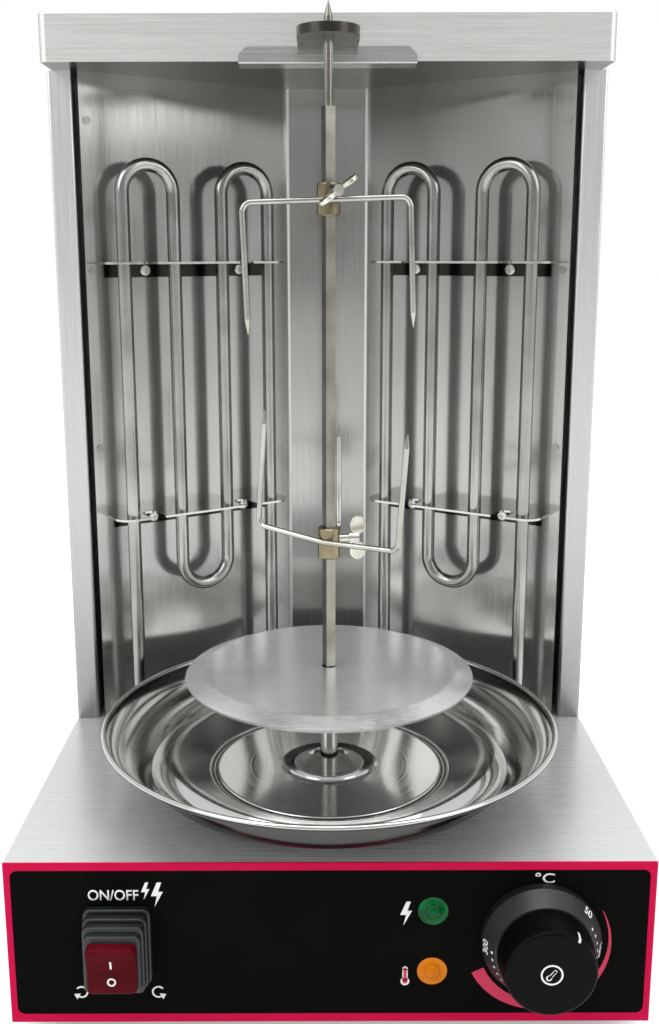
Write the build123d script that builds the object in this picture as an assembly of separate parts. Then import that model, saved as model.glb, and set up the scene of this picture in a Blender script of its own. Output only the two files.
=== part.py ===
"""Electric skewer grill: a control base, a three-facet heated back wall and a turning spindle.

Everything is drawn from the lower front edge of the base (x = mid-plane, y = 0 at the face of the
control panel and growing to the rear, z = 0 at the underside of the base). Each piece is then moved
so that the origin lies in the middle of the footprint, on the table.
"""
import os
from math import cos, radians, sin

from build123d import *

# ---------------------------------------------------------------- body (mm)
BODY_W = 300.0
BASE_H = 82.0
BASE_D = 252.0
SHEET = 1.2                # folded housing sheet
PANEL_T = 1.0              # printed front overlay
POST_Y = BASE_D - 87.0     # front face of the side posts
POST_W = 13.0              # width of the post seen from the front
POST_RETURN = 8.0
CEILING_Z = BASE_H + 368.0
COVER_W = BODY_W - 6.0
COVER_Y = POST_Y - 28.0
COVER_H = 24.4
COVER_T = 1.0
FLANGE_W = 12.0            # inward folded edges that take screws
FOOT_H = 12.0
PLATE_T = 1.5
FOOT_INSET = 28.0
REAR_SCREW_X = BODY_W / 2 - 7.0
REAR_SCREW_Z = (BASE_H + 18.0, (BASE_H + CEILING_Z) / 2, CEILING_Z - 18.0)
CEILING_SCREW_X = BODY_W / 2 - 7.7
CEILING_SCREW_Y = (POST_Y + 20.0, BASE_D - 17.0)

# ---------------------------------------------------------------- fits (mm)
RUN_FIT = 0.05             # radial gap of a turning or sliding round fit
LOOSE_FIT = 0.3            # gap round pieces that only pass each other
WELD_FIT = 0.02            # gap of a piece welded or pressed into another

# ---------------------------------------------------------------- back wall (mm)
WALL_X = BODY_W / 2 - POST_W   # where the side facets start, in the plane of the posts
WALL_Y = POST_Y
WALL_BACK_X = 23.65        # fold between side facet and middle facet
WALL_BACK_Y = BASE_D - 15.0
WALL_T = 0.8
WALL_EDGE_S = 3.8          # dark slot between post and reflector
FACET_L = ((WALL_X - WALL_BACK_X) ** 2 + (WALL_BACK_Y - WALL_Y) ** 2) ** 0.5
FACET_U = ((WALL_X - WALL_BACK_X) / FACET_L, (WALL_BACK_Y - WALL_Y) / FACET_L)
RIVET_S = 8.0
RIVET_Z = (BASE_H + 45.0, BASE_H + 163.0, CEILING_Z - 105.0, CEILING_Z - 25.0)
RIVET_R = 1.5
RIVET_HEAD_R = 2.2
RAIL_S = (5.5, 15.0)
RAIL_T = 1.2
RAIL_D = 12.0

# ---------------------------------------------------------------- heater rods (mm)
ROD_R = 3.8
ROD_S = (20.0, 50.2, 80.2, 110.4)
ROD_OFF = 16.0             # rod centre in front of the facet
ROD_BEND = 14.9
ROD_TOP_Z = CEILING_Z - 48.0
ROD_LOW_Z = BASE_H + 78.5
ROD_END_Z = BASE_H - 24.0
CARRIER_T = 1.2
CARRIER_S = (ROD_S[0] - 11.0, ROD_S[-1] + 11.0)
CARRIER_OFF = 24.0
CARRIER_DROP = 8.0
CARRIER_SCREW_DROP = 4.2   # screw below the blade
NOTCH_W = 9.0              # cut through the blade for the screwdriver
NOTCH_OFF = 8.0
CARRIER_Z = {"upper": ROD_TOP_Z - 52.7, "lower": ROD_LOW_Z + 45.5}
CARRIER_SCREW_S = (ROD_S[0] + 18.3, ROD_S[-1] - 11.9)
BUSH_R = 4.9
BUSH_FLANGE_R = 6.2

# ---------------------------------------------------------------- spindle (mm)
AXIS_Y = 85.5
SPIN_DEG = 25.0            # resting turn of the square bar
BAR_W = 5.0
DISC_TOP_Z = BASE_H + 63.1
BAR_LOW_Z = DISC_TOP_Z - 20.1
BAR_TOP_Z = CEILING_Z - 28.0
JOURNAL_R = 2.2
CONE_Z = CEILING_Z + 11.4
TIP_Z = CONE_Z + 7.1
HUB_R = 4.65
HUB_LOW_Z = BASE_H + 13.0
HUB_RING_R = 7.0
HUB_RING_H = 2.5
TANG_W = 6.0
TANG_LOW_Z = HUB_LOW_Z - 7.5
DISC_T = 1.5
DISC_FLAT_R = 64.9
DISC_R = 74.2
DISC_DROP = 3.5

# ---------------------------------------------------------------- drive (mm)
COUPLING_R = 10.0
COUPLING_LOW_Z = BASE_H + 1.8
SHAFT_R = 4.0
GEAR_TOP_Z = BASE_H - 12.0
SHAFT_LOW_Z = GEAR_TOP_Z - 8.0
SHAFT_TOP_Z = TANG_LOW_Z - 1.0
DRIVE_BUSH_R = 7.0
GEAR_R = 30.0
GEAR_H = 18.0
MOTOR_R = 25.0
MOTOR_H = 24.0

# ---------------------------------------------------------------- drip tray (mm)
TRAY_T = 0.8
TRAY_FLOOR_Z = BASE_H + 8.0
TRAY_RIM_R = 117.4
TRAY_FLOOR_R = TRAY_RIM_R - 22.5
TRAY_RIM_Z = TRAY_FLOOR_Z + 27.0
TRAY_BEAD_R = 1.3
TRAY_HOLE_R = 8.0
HUMP_R = 25.0
HUMP_Z = TRAY_FLOOR_Z + 6.7
TRAY_RING_R = 60.2
TRAY_RING_W = 5.0
SEAT_R = (TRAY_RING_R - 10.0, TRAY_RING_R - 3.5)

# ---------------------------------------------------------------- forks (mm)
COLLAR_R = 5.65
WIRE_R = 1.4
WIRE_BEND = 4.5
WIRE_IN = 0.35             # depth of the groove that seats the wire in its collar
POINT_L = 7.0
UPPER_COLLAR_Z = (CEILING_Z - 78.1, CEILING_Z - 62.8)
UPPER_WIRE_Z = UPPER_COLLAR_Z[0] + 7.3
UPPER_REACH = (41.5, 38.5)  # arms to the left and to the right
UPPER_RISE = (0.0, 0.0)
UPPER_PRONG_L = 61.3
UPPER_YAW = 5.0
UPPER_LEAN = -2.0
LOWER_COLLAR_Z = (DISC_TOP_Z + 58.2, DISC_TOP_Z + 73.9)
LOWER_WIRE_Z = LOWER_COLLAR_Z[0] + 9.2
LOWER_REACH = (38.0, 41.5)
LOWER_RISE = (1.9, 3.8)     # height of each bend over the collar groove
LOWER_PRONG_L = 62.0
LOWER_YAW = -29.0
LOWER_LEAN = 4.5
REAR_YAW = -7.7
REAR_REACH = 42.3
REAR_Z = LOWER_COLLAR_Z[0] + 4.7
REAR_PRONG_L = 57.5
SCREW_R = 2.0
UPPER_SCREW_Z = UPPER_COLLAR_Z[1] - 4.0
UPPER_SCREW_DEG = -72.0    # direction of the wing screw, counted from +X towards +Y
UPPER_SCREW_TURN = 37.0
LOWER_SCREW_Z = LOWER_COLLAR_Z[0] + 9.7
LOWER_SCREW_DEG = 8.0
LOWER_SCREW_TURN = 90.0
WING_SHANK_L = 7.0
WING_SPAN = 23.0
EAR_W, EAR_H = 9.6, 8.4

# ---------------------------------------------------------------- top bearing (mm)
BRACKET_T = 1.5
BRACKET_LIP_W = 90.8
BRACKET_LEG_D = 13.0
BRACKET_TONGUE_Z = CEILING_Z + 2.6
BRACKET_TONGUE_T = 4.4
BRACKET_TONGUE_W = 29.5
BRACKET_CHAMFER = 4.0

# ---------------------------------------------------------------- controls (mm)
SWITCH_X, SWITCH_Z = -BODY_W / 2 + 51.7, BASE_H / 2
ROCKER_W, ROCKER_H = 22.8, 23.5
ROCKER_OUT = 20.5
ROCKER_PIVOT_Y = -9.0
ROCKER_TILT = 6.0
BEZEL_W, BEZEL_H = 25.2, 29.0
SWITCH_OPEN_W, SWITCH_OPEN_H = 23.4, 27.0
LAMP_X = BODY_W / 2 - 102.5
LAMP_Z = {"green": BASE_H / 2 + 16.5, "amber": BASE_H / 2 - 14.5}
LAMP_R = 7.0
LAMP_OUT = 4.6
LAMP_BODY_R = 5.8
DIAL_X, DIAL_Z = BODY_W / 2 - 52.7, BASE_H / 2 + 3.0
DIAL_R = 27.5
DIAL_CONE_R = 23.0
DIAL_OUT = 13.0
KNOB_R = 22.0
KNOB_FRONT_R = 20.5
KNOB_OUT = 28.3
KNOB_GAP = 0.5
DIAL_SHAFT_R = 3.0
GLAND_X, GLAND_Z = BODY_W / 2 - 50.0, BASE_H / 2 - 13.0
GLAND_OUT = 12.0
GLAND_R = 9.0

# the footprint runs from the tray rim in front to the cable gland behind
FRONT_MOST = AXIS_Y - TRAY_RIM_R
REAR_MOST = BASE_D + GLAND_OUT
TO_ORIGIN = Pos(0, -(FRONT_MOST + REAR_MOST) / 2, FOOT_H)


# ---------------------------------------------------------------- drawing helpers
def save(node, shape):
    """Write one piece in the shared position."""
    os.makedirs("parts", exist_ok=True)
    export_step(TO_ORIGIN * shape, f"parts/{node}.step")


def block(x, y, z):
    """Box between pairs of limits."""
    size = (x[1] - x[0], y[1] - y[0], z[1] - z[0])
    return Pos((x[0] + x[1]) / 2, (y[0] + y[1]) / 2, (z[0] + z[1]) / 2) * Box(*size)


def bar(start, direction, radius, length):
    """Round bar from a start point along a direction."""
    return extrude(Plane(origin=start, z_dir=direction) * Circle(radius), amount=length)


def upright(x, y, z, radius):
    """Round bar standing between two heights."""
    return bar((x, y, z[0]), (0, 0, 1), radius, z[1] - z[0])


def bent_sheet(points, thick, z, bend=1.5):
    """Folded sheet of constant section, drawn by its middle line, standing between two heights."""
    line = FilletPolyline(*points, radius=bend)
    return Pos(0, 0, z[0]) * extrude(trace(line, thick), amount=z[1] - z[0])


def cap_screw(start, direction, shank_r, shank_l, head_r, head_h):
    """Pan head with a cross recess outside the start point, shank inside along the direction."""
    frame = Plane(origin=start, z_dir=direction)
    shank = extrude(frame * Circle(shank_r), amount=shank_l)
    head = extrude(frame * Circle(head_r), amount=-head_h)
    head = fillet(outer_edge(head, frame), head_h * 0.45)
    cross = Rectangle(head_r * 1.1, head_r * 0.28) + Rectangle(head_r * 0.28, head_r * 1.1)
    recess = extrude(frame.offset(-head_h) * cross, amount=head_h * 0.5)
    return shank + head - recess


def outer_edge(head, frame):
    """Round edge of a screw head that lies farthest outside its seat."""
    edges = head.edges().filter_by(GeomType.CIRCLE)
    return min(edges, key=lambda edge: frame.to_local_coords(edge.center()).Z)


def mirrored(shape):
    """The same piece on the other side of the mid-plane."""
    return mirror(shape, about=Plane.YZ)


def facet_point(s, off):
    """Point in plan on the right side facet: distance s along it, off in front of it."""
    return (WALL_X - FACET_U[0] * s - FACET_U[1] * off, WALL_Y + FACET_U[1] * s - FACET_U[0] * off)


FACET_NORMAL = (-FACET_U[1], -FACET_U[0], 0)


def wire_path(points, bend):
    """Middle line of a bent wire."""
    return FilletPolyline(*points, radius=bend)


def round_wire(path, radius):
    """Wire of constant section along its middle line."""
    return sweep(Plane(origin=path @ 0, z_dir=path % 0) * Circle(radius), path=path)


# ---------------------------------------------------------------- base
def base_housing():
    """Box folded from sheet, open below, with inward edges for the bottom plate."""
    outer = block((-BODY_W / 2, BODY_W / 2), (PANEL_T, BASE_D), (0, BASE_H))
    outer = fillet(outer.edges().filter_by(Axis.Z), 1.5)
    inner = block(
        (-BODY_W / 2 + SHEET, BODY_W / 2 - SHEET),
        (PANEL_T + SHEET, BASE_D - SHEET),
        (-1, BASE_H - SHEET),
    )
    edge = block(
        (-BODY_W / 2 + SHEET, BODY_W / 2 - SHEET),
        (PANEL_T + SHEET, BASE_D - SHEET),
        (PLATE_T, PLATE_T + SHEET),
    ) - block(
        (-BODY_W / 2 + FLANGE_W, BODY_W / 2 - FLANGE_W),
        (PANEL_T + FLANGE_W, BASE_D - FLANGE_W),
        (0, BASE_H / 2),
    )
    box = outer - inner + edge
    box -= upright(0, AXIS_Y, (BASE_H - 5, BASE_H + 5), DRIVE_BUSH_R + WELD_FIT)
    for x, y in rod_ends():
        box -= upright(x, y, (BASE_H - 5, BASE_H + 5), BUSH_R + WELD_FIT)
    for x, y in motor_bolt_points():
        box -= upright(x, y, (BASE_H - 5, BASE_H + 5), 1.6)
    for x, y in bottom_screw_points():
        box -= upright(x, y, (0, 5), 1.5)
    for hole in front_holes(SWITCH_OPEN_W + 3, SWITCH_OPEN_H + 3):
        box -= hole
    box -= bar((GLAND_X, BASE_D + 5, GLAND_Z), (0, -1, 0), 6.2, 10)
    return box


def bottom_plate():
    """Plate closing the base from below, with two rows of vent slots."""
    plate = block(
        (-BODY_W / 2 + SHEET + LOOSE_FIT, BODY_W / 2 - SHEET - LOOSE_FIT),
        (PANEL_T + SHEET + LOOSE_FIT, BASE_D - SHEET - LOOSE_FIT),
        (0, PLATE_T),
    )
    slot = extrude(SlotOverall(40, 4), amount=10, both=True)
    for row in (0.24, 0.32, 0.6, 0.68):
        for x in (-BODY_W / 4, 0.0, BODY_W / 4):
            plate -= Pos(x, row * BASE_D, 0) * slot
    for x, y in foot_points():
        plate -= upright(x, y, (-1, 5), 2.1)
    for x, y in bottom_screw_points():
        plate -= upright(x, y, (-1, 5), 1.55)
    return plate


def foot_points():
    x = BODY_W / 2 - FOOT_INSET
    return [(side * x, y) for side in (-1, 1) for y in (FOOT_INSET, BASE_D - FOOT_INSET)]


def bottom_screw_points():
    x = BODY_W / 2 - FLANGE_W / 2 - 0.5
    return [(side * x, y) for side in (-1, 1) for y in (BASE_D * 0.25, BASE_D * 0.75)]


def front_holes(switch_w, switch_h):
    """Openings through the front sheet for switch, lamps and thermostat."""
    holes = [block(
        (SWITCH_X - switch_w / 2, SWITCH_X + switch_w / 2),
        (-1, 5),
        (SWITCH_Z - switch_h / 2, SWITCH_Z + switch_h / 2),
    )]
    for z in LAMP_Z.values():
        holes.append(bar((LAMP_X, -1, z), (0, 1, 0), LAMP_BODY_R + LOOSE_FIT, 6))
    holes.append(bar((DIAL_X, -1, DIAL_Z), (0, 1, 0), 4.8, 6))
    return holes


def control_panel():
    """Printed overlay that covers the whole front of the base."""
    panel = block((-BODY_W / 2, BODY_W / 2), (0, PANEL_T), (0, BASE_H))
    for hole in front_holes(SWITCH_OPEN_W + 3, SWITCH_OPEN_H + 3):
        panel -= hole
    return panel


def feet():
    """Four rubber feet, hollow below for the screw head."""
    foot = Pos(0, 0, -FOOT_H) * extrude(Circle(12), amount=FOOT_H, taper=-6)
    foot = fillet(foot.edges().sort_by(Axis.Z)[0], 1.2)
    foot -= upright(0, 0, (-FOOT_H - 1, -5), 5.5)
    foot -= upright(0, 0, (-6, 1), 2.1 + WELD_FIT)
    return Compound([Pos(x, y, 0) * foot for x, y in foot_points()])


def foot_screws():
    screws = [cap_screw((x, y, -5), (0, 0, 1), 2.08, 12, 4.5, 2.6) for x, y in foot_points()]
    return Compound(screws)


def bottom_screws():
    screws = [cap_screw((x, y, 0), (0, 0, 1), 1.45, 6, 2.8, 1.8) for x, y in bottom_screw_points()]
    return Compound(screws)


def tray_seat():
    """Ring on the base top that carries the drip tray."""
    ring = Circle(SEAT_R[1]) - Circle(SEAT_R[0])
    return Pos(0, AXIS_Y, BASE_H) * extrude(ring, amount=TRAY_FLOOR_Z - TRAY_T - BASE_H)


def terminal_block():
    """Row of screw clamps for the internal wiring, on the bottom plate."""
    x0, y0 = GLAND_X - 70.0, BASE_D - 47.0
    body = block((x0, x0 + 48), (y0, y0 + 20), (PLATE_T, PLATE_T + 18.5))
    body -= block((x0 - 1, x0 + 49), (y0 + 6, y0 + 14), (PLATE_T + 13.5, PLATE_T + 20))
    for i in range(5):
        x = x0 + 4.5 + i * 9.75
        body -= bar((x, y0 - 1, PLATE_T + 7.5), (0, 1, 0), 2.4, 22)
        body -= upright(x, y0 + 10, (PLATE_T + 9.5, PLATE_T + 20), 1.8)
    return body


def cable_gland():
    """Clamping gland for the mains lead, in the rear of the base."""
    nut = extrude(RegularPolygon(GLAND_R, 6), amount=6)
    dome = Pos(0, 0, 6) * extrude(Circle(7.4), amount=GLAND_OUT - 6)
    dome = fillet(dome.edges().sort_by(Axis.Z)[-1], 2.0)
    neck = Pos(0, 0, -10) * extrude(Circle(6.2 - WELD_FIT), amount=10)
    lock = Pos(0, 0, -SHEET - 5) * extrude(RegularPolygon(GLAND_R, 6), amount=5)
    gland = nut + dome + neck + lock - Pos(0, 0, -11) * extrude(Circle(3.6), amount=30)
    return Plane(origin=(GLAND_X, BASE_D, GLAND_Z), z_dir=(0, 1, 0)) * gland


# ---------------------------------------------------------------- shell
def side_panel():
    """Right side: wall, front post with its return, rear edge, top and bottom edges."""
    x = BODY_W / 2 - SHEET / 2
    rear = BASE_D - SHEET * 1.5
    inner = BODY_W / 2 - POST_W + SHEET / 2
    post = POST_Y + SHEET / 2
    line = [
        (x - FLANGE_W, rear),
        (x, rear),
        (x, post),
        (inner, post),
        (inner, post + POST_RETURN),
    ]
    panel = bent_sheet(line, SHEET, (BASE_H, CEILING_Z), 1.0)
    span = (BODY_W / 2 - FLANGE_W, BODY_W / 2 - SHEET / 2)
    depth = (POST_Y + SHEET / 2, rear)
    panel += block(span, depth, (CEILING_Z - SHEET, CEILING_Z))
    panel += block(span, depth, (BASE_H, BASE_H + SHEET))
    for z in REAR_SCREW_Z:
        panel -= bar((REAR_SCREW_X, BASE_D, z), (0, -1, 0), 1.5, 5)
    for y in CEILING_SCREW_Y:
        panel -= upright(CEILING_SCREW_X, y, (CEILING_Z - 5, CEILING_Z + 5), 1.5)
    return panel


def rear_panel():
    """Flat rear wall with rows of vent slots, screwed to the rear edges of the sides."""
    half = BODY_W / 2 - SHEET - LOOSE_FIT
    panel = block((-half, half), (BASE_D - SHEET, BASE_D), (BASE_H, CEILING_Z))
    slot = extrude(Plane.XZ * SlotOverall(50, 4), amount=10, both=True)
    for i in range(6):
        for x in (-BODY_W * 0.235, 0.0, BODY_W * 0.235):
            panel -= Pos(x, BASE_D, BASE_H + 28 + i * 10) * slot
            panel -= Pos(x, BASE_D, CEILING_Z - 75 + i * 10) * slot
    for side in (-1, 1):
        for z in REAR_SCREW_Z:
            panel -= bar((side * REAR_SCREW_X, BASE_D + 1, z), (0, -1, 0), 1.6, 5)
    return panel


def rear_screws():
    screws = []
    for side in (-1, 1):
        for z in REAR_SCREW_Z:
            screws.append(cap_screw((side * REAR_SCREW_X, BASE_D, z), (0, -1, 0), 1.45, 6, 3.2, 2.0))
    return Compound(screws)


def reflector():
    """Back wall of the cooking space: two side facets and a narrow middle one."""
    start = facet_point(WALL_EDGE_S, -WALL_T / 2)
    fold_shift = WALL_T / 2 * (1 - FACET_U[0]) / FACET_U[1]
    fold = (WALL_BACK_X + fold_shift, WALL_BACK_Y + WALL_T / 2)
    line = [start, fold, (-fold[0], fold[1]), (-start[0], start[1])]
    wall = bent_sheet(line, WALL_T, (BASE_H, CEILING_Z), 1.5)
    for hole in both_sides(rivet_holes() + carrier_holes()):
        wall -= hole
    return wall


def both_sides(shapes):
    return shapes + [mirrored(shape) for shape in shapes]


def facet_bar(s, off, z, radius, length):
    """Round bar through the right facet, starting off in front of it and running to the rear."""
    x, y = facet_point(s, off)
    return bar((x, y, z), tuple(-n for n in FACET_NORMAL), radius, length)


def rivet_holes():
    return [facet_bar(RIVET_S, 5, z, RIVET_R + WELD_FIT, 9) for z in RIVET_Z]


def carrier_holes():
    return [
        facet_bar(s, 5, z - CARRIER_SCREW_DROP, 1.5 + WELD_FIT, 12)
        for z in CARRIER_Z.values()
        for s in CARRIER_SCREW_S
    ]


def reflector_rails():
    """Angle strips behind both outer edges of the back wall, between base and ceiling."""
    gap = -WALL_T - RAIL_T / 2
    line = [facet_point(RAIL_S[0], gap), facet_point(RAIL_S[1], gap), facet_point(RAIL_S[1], gap - RAIL_D)]
    rail = bent_sheet(line, RAIL_T, (BASE_H, CEILING_Z), 1.0)
    for hole in rivet_holes():
        rail -= hole
    return Compound([rail, mirrored(rail)])


def reflector_rivets():
    """Eight domed rivets that hold the back wall to its angle strips."""
    rivets = []
    grip = WALL_T + RAIL_T
    for z in RIVET_Z:
        head = facet_bar(RIVET_S, 0.6, z, RIVET_HEAD_R, 0.6)
        rivets.append(head + facet_bar(RIVET_S, 0, z, RIVET_R, grip) + facet_bar(RIVET_S, -grip, z, 2.4, 1.2))
    return Compound(both_sides(rivets))


def ceiling_plate():
    """Plate under the top cover, with a lip at the rear for the cover screws."""
    half = COVER_W / 2 - COVER_T - LOOSE_FIT
    front = COVER_Y + COVER_T + LOOSE_FIT
    rear = BASE_D - COVER_T
    plate = block((-half, half), (front, rear), (CEILING_Z, CEILING_Z + SHEET))
    plate = fillet(plate.edges().filter_by(Axis.Z), 4.0)
    plate += block((-half + 8, half - 8), (rear - SHEET, rear), (CEILING_Z, CEILING_Z + 14))
    for side in (-1, 1):
        for y in CEILING_SCREW_Y:
            plate -= upright(side * CEILING_SCREW_X, y, (CEILING_Z - 5, CEILING_Z + 5), 1.6)
        plate -= bar((side * COVER_SCREW_X, BASE_D + 1, COVER_SCREW_Z), (0, -1, 0), 1.5, 9)
    for x in BRACKET_SCREW_X:
        plate -= upright(x, BRACKET_SCREW_Y, (CEILING_Z - 5, CEILING_Z + 5), 1.5)
    return plate


COVER_SCREW_X = COVER_W / 3
COVER_SCREW_Z = CEILING_Z + 9
BRACKET_SCREW_X = (-32.0, 32.0)
BRACKET_SCREW_Y = COVER_Y + 8


def ceiling_screws():
    screws = []
    for side in (-1, 1):
        for y in CEILING_SCREW_Y:
            start = (side * CEILING_SCREW_X, y, CEILING_Z + SHEET)
            screws.append(cap_screw(start, (0, 0, -1), 1.45, 6, 2.8, 1.8))
    return Compound(screws)


def top_cover():
    """Lid over the whole top, drawn forward over the cooking space."""
    outer = block((-COVER_W / 2, COVER_W / 2), (COVER_Y, BASE_D), (CEILING_Z, CEILING_Z + COVER_H))
    outer = fillet(outer.edges().filter_by(Axis.Z), 4.0)
    outer = fillet(outer.edges().group_by(Axis.Z)[-1], 1.5)
    half = COVER_W / 2 - COVER_T
    inner = block(
        (-half, half),
        (COVER_Y + COVER_T, BASE_D - COVER_T),
        (CEILING_Z - 1, CEILING_Z + COVER_H - COVER_T),
    )
    inner = fillet(inner.edges().filter_by(Axis.Z), 3.0)
    cover = outer - inner
    for side in (-1, 1):
        cover -= bar((side * COVER_SCREW_X, BASE_D + 1, COVER_SCREW_Z), (0, -1, 0), 1.6, 9)
    return cover


def cover_screws():
    starts = [(side * COVER_SCREW_X, BASE_D, COVER_SCREW_Z) for side in (-1, 1)]
    return Compound([cap_screw(start, (0, -1, 0), 1.45, 7, 3.2, 2.0) for start in starts])


# ---------------------------------------------------------------- top bearing
def bearing_bracket():
    """Angle with a leg under the cover edge, a lip up the cover front and a thick tongue to the axis."""
    lip_x = (-BRACKET_LIP_W / 2, BRACKET_LIP_W / 2)
    low = CEILING_Z - BRACKET_T
    front = COVER_Y - BRACKET_T
    top = BRACKET_TONGUE_Z + BRACKET_TONGUE_T
    leg = block(lip_x, (front, COVER_Y + BRACKET_LEG_D), (low, CEILING_Z))
    leg = fillet(leg.edges().filter_by(Axis.X).group_by(Axis.Y)[0].group_by(Axis.Z)[0], 1.0)
    lip = block(lip_x, (front, COVER_Y), (CEILING_Z - BRACKET_T / 2, top))
    lip = chamfer(lip.edges().filter_by(Axis.Y).group_by(Axis.Z)[-1], BRACKET_CHAMFER)
    half = BRACKET_TONGUE_W / 2
    tongue = block((-half, half), (AXIS_Y, COVER_Y), (BRACKET_TONGUE_Z, top))
    tongue += upright(0, AXIS_Y, (BRACKET_TONGUE_Z, top), half)
    bracket = leg + lip + tongue
    bracket -= upright(0, AXIS_Y, (BRACKET_TONGUE_Z - 5, top + 5), JOURNAL_R + RUN_FIT)
    for x in BRACKET_SCREW_X:
        bracket -= upright(x, BRACKET_SCREW_Y, (low - 5, CEILING_Z + 5), 1.5)
    return bracket


def bracket_screws():
    """Screws from above the ceiling plate, flush with the underside of the bracket."""
    starts = [(x, BRACKET_SCREW_Y, CEILING_Z + SHEET) for x in BRACKET_SCREW_X]
    return Compound([cap_screw(start, (0, 0, -1), 1.45, SHEET + BRACKET_T, 3.0, 1.8) for start in starts])


# ---------------------------------------------------------------- heaters
def rod_ends():
    """Where the outer legs of both rods pass through the base top."""
    ends = [facet_point(s, ROD_OFF) for s in (ROD_S[0], ROD_S[-1])]
    return ends + [(-x, y) for x, y in ends]


def heater():
    """Right rod: four legs joined by two upper bends and one lower bend."""
    plan = [facet_point(s, ROD_OFF) for s in ROD_S]
    levels = [
        (0, ROD_END_Z), (0, ROD_TOP_Z), (1, ROD_TOP_Z), (1, ROD_LOW_Z),
        (2, ROD_LOW_Z), (2, ROD_TOP_Z), (3, ROD_TOP_Z), (3, ROD_END_Z),
    ]
    path = wire_path([(*plan[leg], z) for leg, z in levels], ROD_BEND)
    return round_wire(path, ROD_R)


def heater_bushes():
    """Ceramic sleeves where the rods pass through the base top."""
    bushes = []
    for x, y in rod_ends():
        bush = upright(x, y, (BASE_H - 5, BASE_H), BUSH_R) + upright(x, y, (BASE_H, BASE_H + 1.5), BUSH_FLANGE_R)
        bushes.append(bush - upright(x, y, (BASE_H - 9, BASE_H + 9), ROD_R + RUN_FIT))
    return Compound(bushes)


def heater_terminals():
    """Insulating bead and blade on each rod end inside the base."""
    ends = []
    for x, y in rod_ends():
        bead = upright(x, y, (ROD_END_Z - 6, ROD_END_Z), 4.5)
        blade = block((x - 0.4, x + 0.4), (y - 3.15, y + 3.15), (ROD_END_Z - 16, ROD_END_Z - 6))
        ends.append(bead + blade)
    return Compound(ends)


def carrier(z):
    """Blade across the four legs of the right rod, with its edge folded down onto the facet."""
    s_mid = (CARRIER_S[0] + CARRIER_S[1]) / 2
    length = CARRIER_S[1] - CARRIER_S[0]
    x, y = facet_point(s_mid, 0)
    plan = Plane(origin=(x, y, z), x_dir=(-FACET_U[0], FACET_U[1], 0), z_dir=(0, 0, 1))
    blade = Pos(0, CARRIER_OFF / 2) * Rectangle(length, CARRIER_OFF)
    blade = fillet(blade.vertices().group_by(Axis.Y)[-1], 9.0)
    piece = plan.offset(-CARRIER_T / 2) * extrude(blade, amount=CARRIER_T)
    edge = Pos(0, CARRIER_T / 2) * Rectangle(length - 10, CARRIER_T)
    piece += plan.offset(-CARRIER_DROP) * extrude(edge, amount=CARRIER_DROP)
    for s in ROD_S:
        px, py = facet_point(s, ROD_OFF)
        piece -= upright(px, py, (z - 5, z + 5), ROD_R + RUN_FIT)
    notch_l = 2 * (CARRIER_OFF - NOTCH_OFF)
    for s in CARRIER_SCREW_S:
        notch = Pos(s_mid - s, CARRIER_OFF) * RectangleRounded(NOTCH_W, notch_l, NOTCH_W / 2 - 0.1)
        piece -= plan.offset(-CARRIER_T) * extrude(notch, amount=2 * CARRIER_T)
    for hole in carrier_holes():
        piece -= hole
    return piece


def carrier_screws():
    screws = []
    for z in CARRIER_Z.values():
        for s in CARRIER_SCREW_S:
            x, y = facet_point(s, CARRIER_T)
            back = tuple(-n for n in FACET_NORMAL)
            screws.append(cap_screw((x, y, z - CARRIER_SCREW_DROP), back, 1.5, 6, 3.2, 2.0))
    return Compound(both_sides(screws))


# ---------------------------------------------------------------- drive
def motor_bolt_points():
    return [(side * 42.5, AXIS_Y + dy) for side in (-1, 1) for dy in (-18.0, 18.0)]


def motor_bracket():
    """Channel hung under the base top."""
    low = GEAR_TOP_Z + SHEET / 2
    high = BASE_H - SHEET * 1.5
    points = [(-50, high), (-38, high), (-38, low), (38, low), (38, high), (50, high)]
    section = trace(FilletPolyline(*points, radius=1.0), SHEET)
    channel = Plane(origin=(0, AXIS_Y, 0), x_dir=(1, 0, 0), z_dir=(0, -1, 0)) * extrude(section, amount=27, both=True)
    channel -= upright(0, AXIS_Y, (GEAR_TOP_Z - 5, GEAR_TOP_Z + 5), SHAFT_R + 2)
    for x, y in motor_bolt_points():
        channel -= upright(x, y, (GEAR_TOP_Z, BASE_H + 5), 1.6)
    for x, y in motor_screw_points():
        channel -= upright(x, y, (GEAR_TOP_Z - 5, GEAR_TOP_Z + 5), 1.6)
    return channel


def motor_screw_points():
    return [(x, AXIS_Y) for x in (-24.0, 24.0)]


def bracket_bolts():
    """Bolts from the base top into the motor channel, hidden under the tray."""
    bolts = [cap_screw((x, y, BASE_H), (0, 0, -1), 1.55, 6, 3.0, 1.8) for x, y in motor_bolt_points()]
    return Compound(bolts)


def motor_screws():
    screws = []
    for x, y in motor_screw_points():
        screws.append(cap_screw((x, y, GEAR_TOP_Z + SHEET), (0, 0, -1), 1.5, 7, 2.8, 1.8))
    return Compound(screws)


def gear_motor():
    """Flat gear case with the motor can below it."""
    case = upright(0, AXIS_Y, (GEAR_TOP_Z - GEAR_H, GEAR_TOP_Z), GEAR_R)
    case = fillet(case.edges().filter_by(GeomType.CIRCLE), 1.5)
    can_low = GEAR_TOP_Z - GEAR_H - MOTOR_H
    motor = case + upright(0, AXIS_Y, (can_low, GEAR_TOP_Z - GEAR_H + 0.5), MOTOR_R)
    motor -= upright(0, AXIS_Y, (SHAFT_LOW_Z - 0.3, GEAR_TOP_Z + 5), SHAFT_R + LOOSE_FIT)
    for x, y in motor_screw_points():
        motor -= upright(x, y, (GEAR_TOP_Z - 8, GEAR_TOP_Z + 1), 1.5 + WELD_FIT)
    return motor


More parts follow.
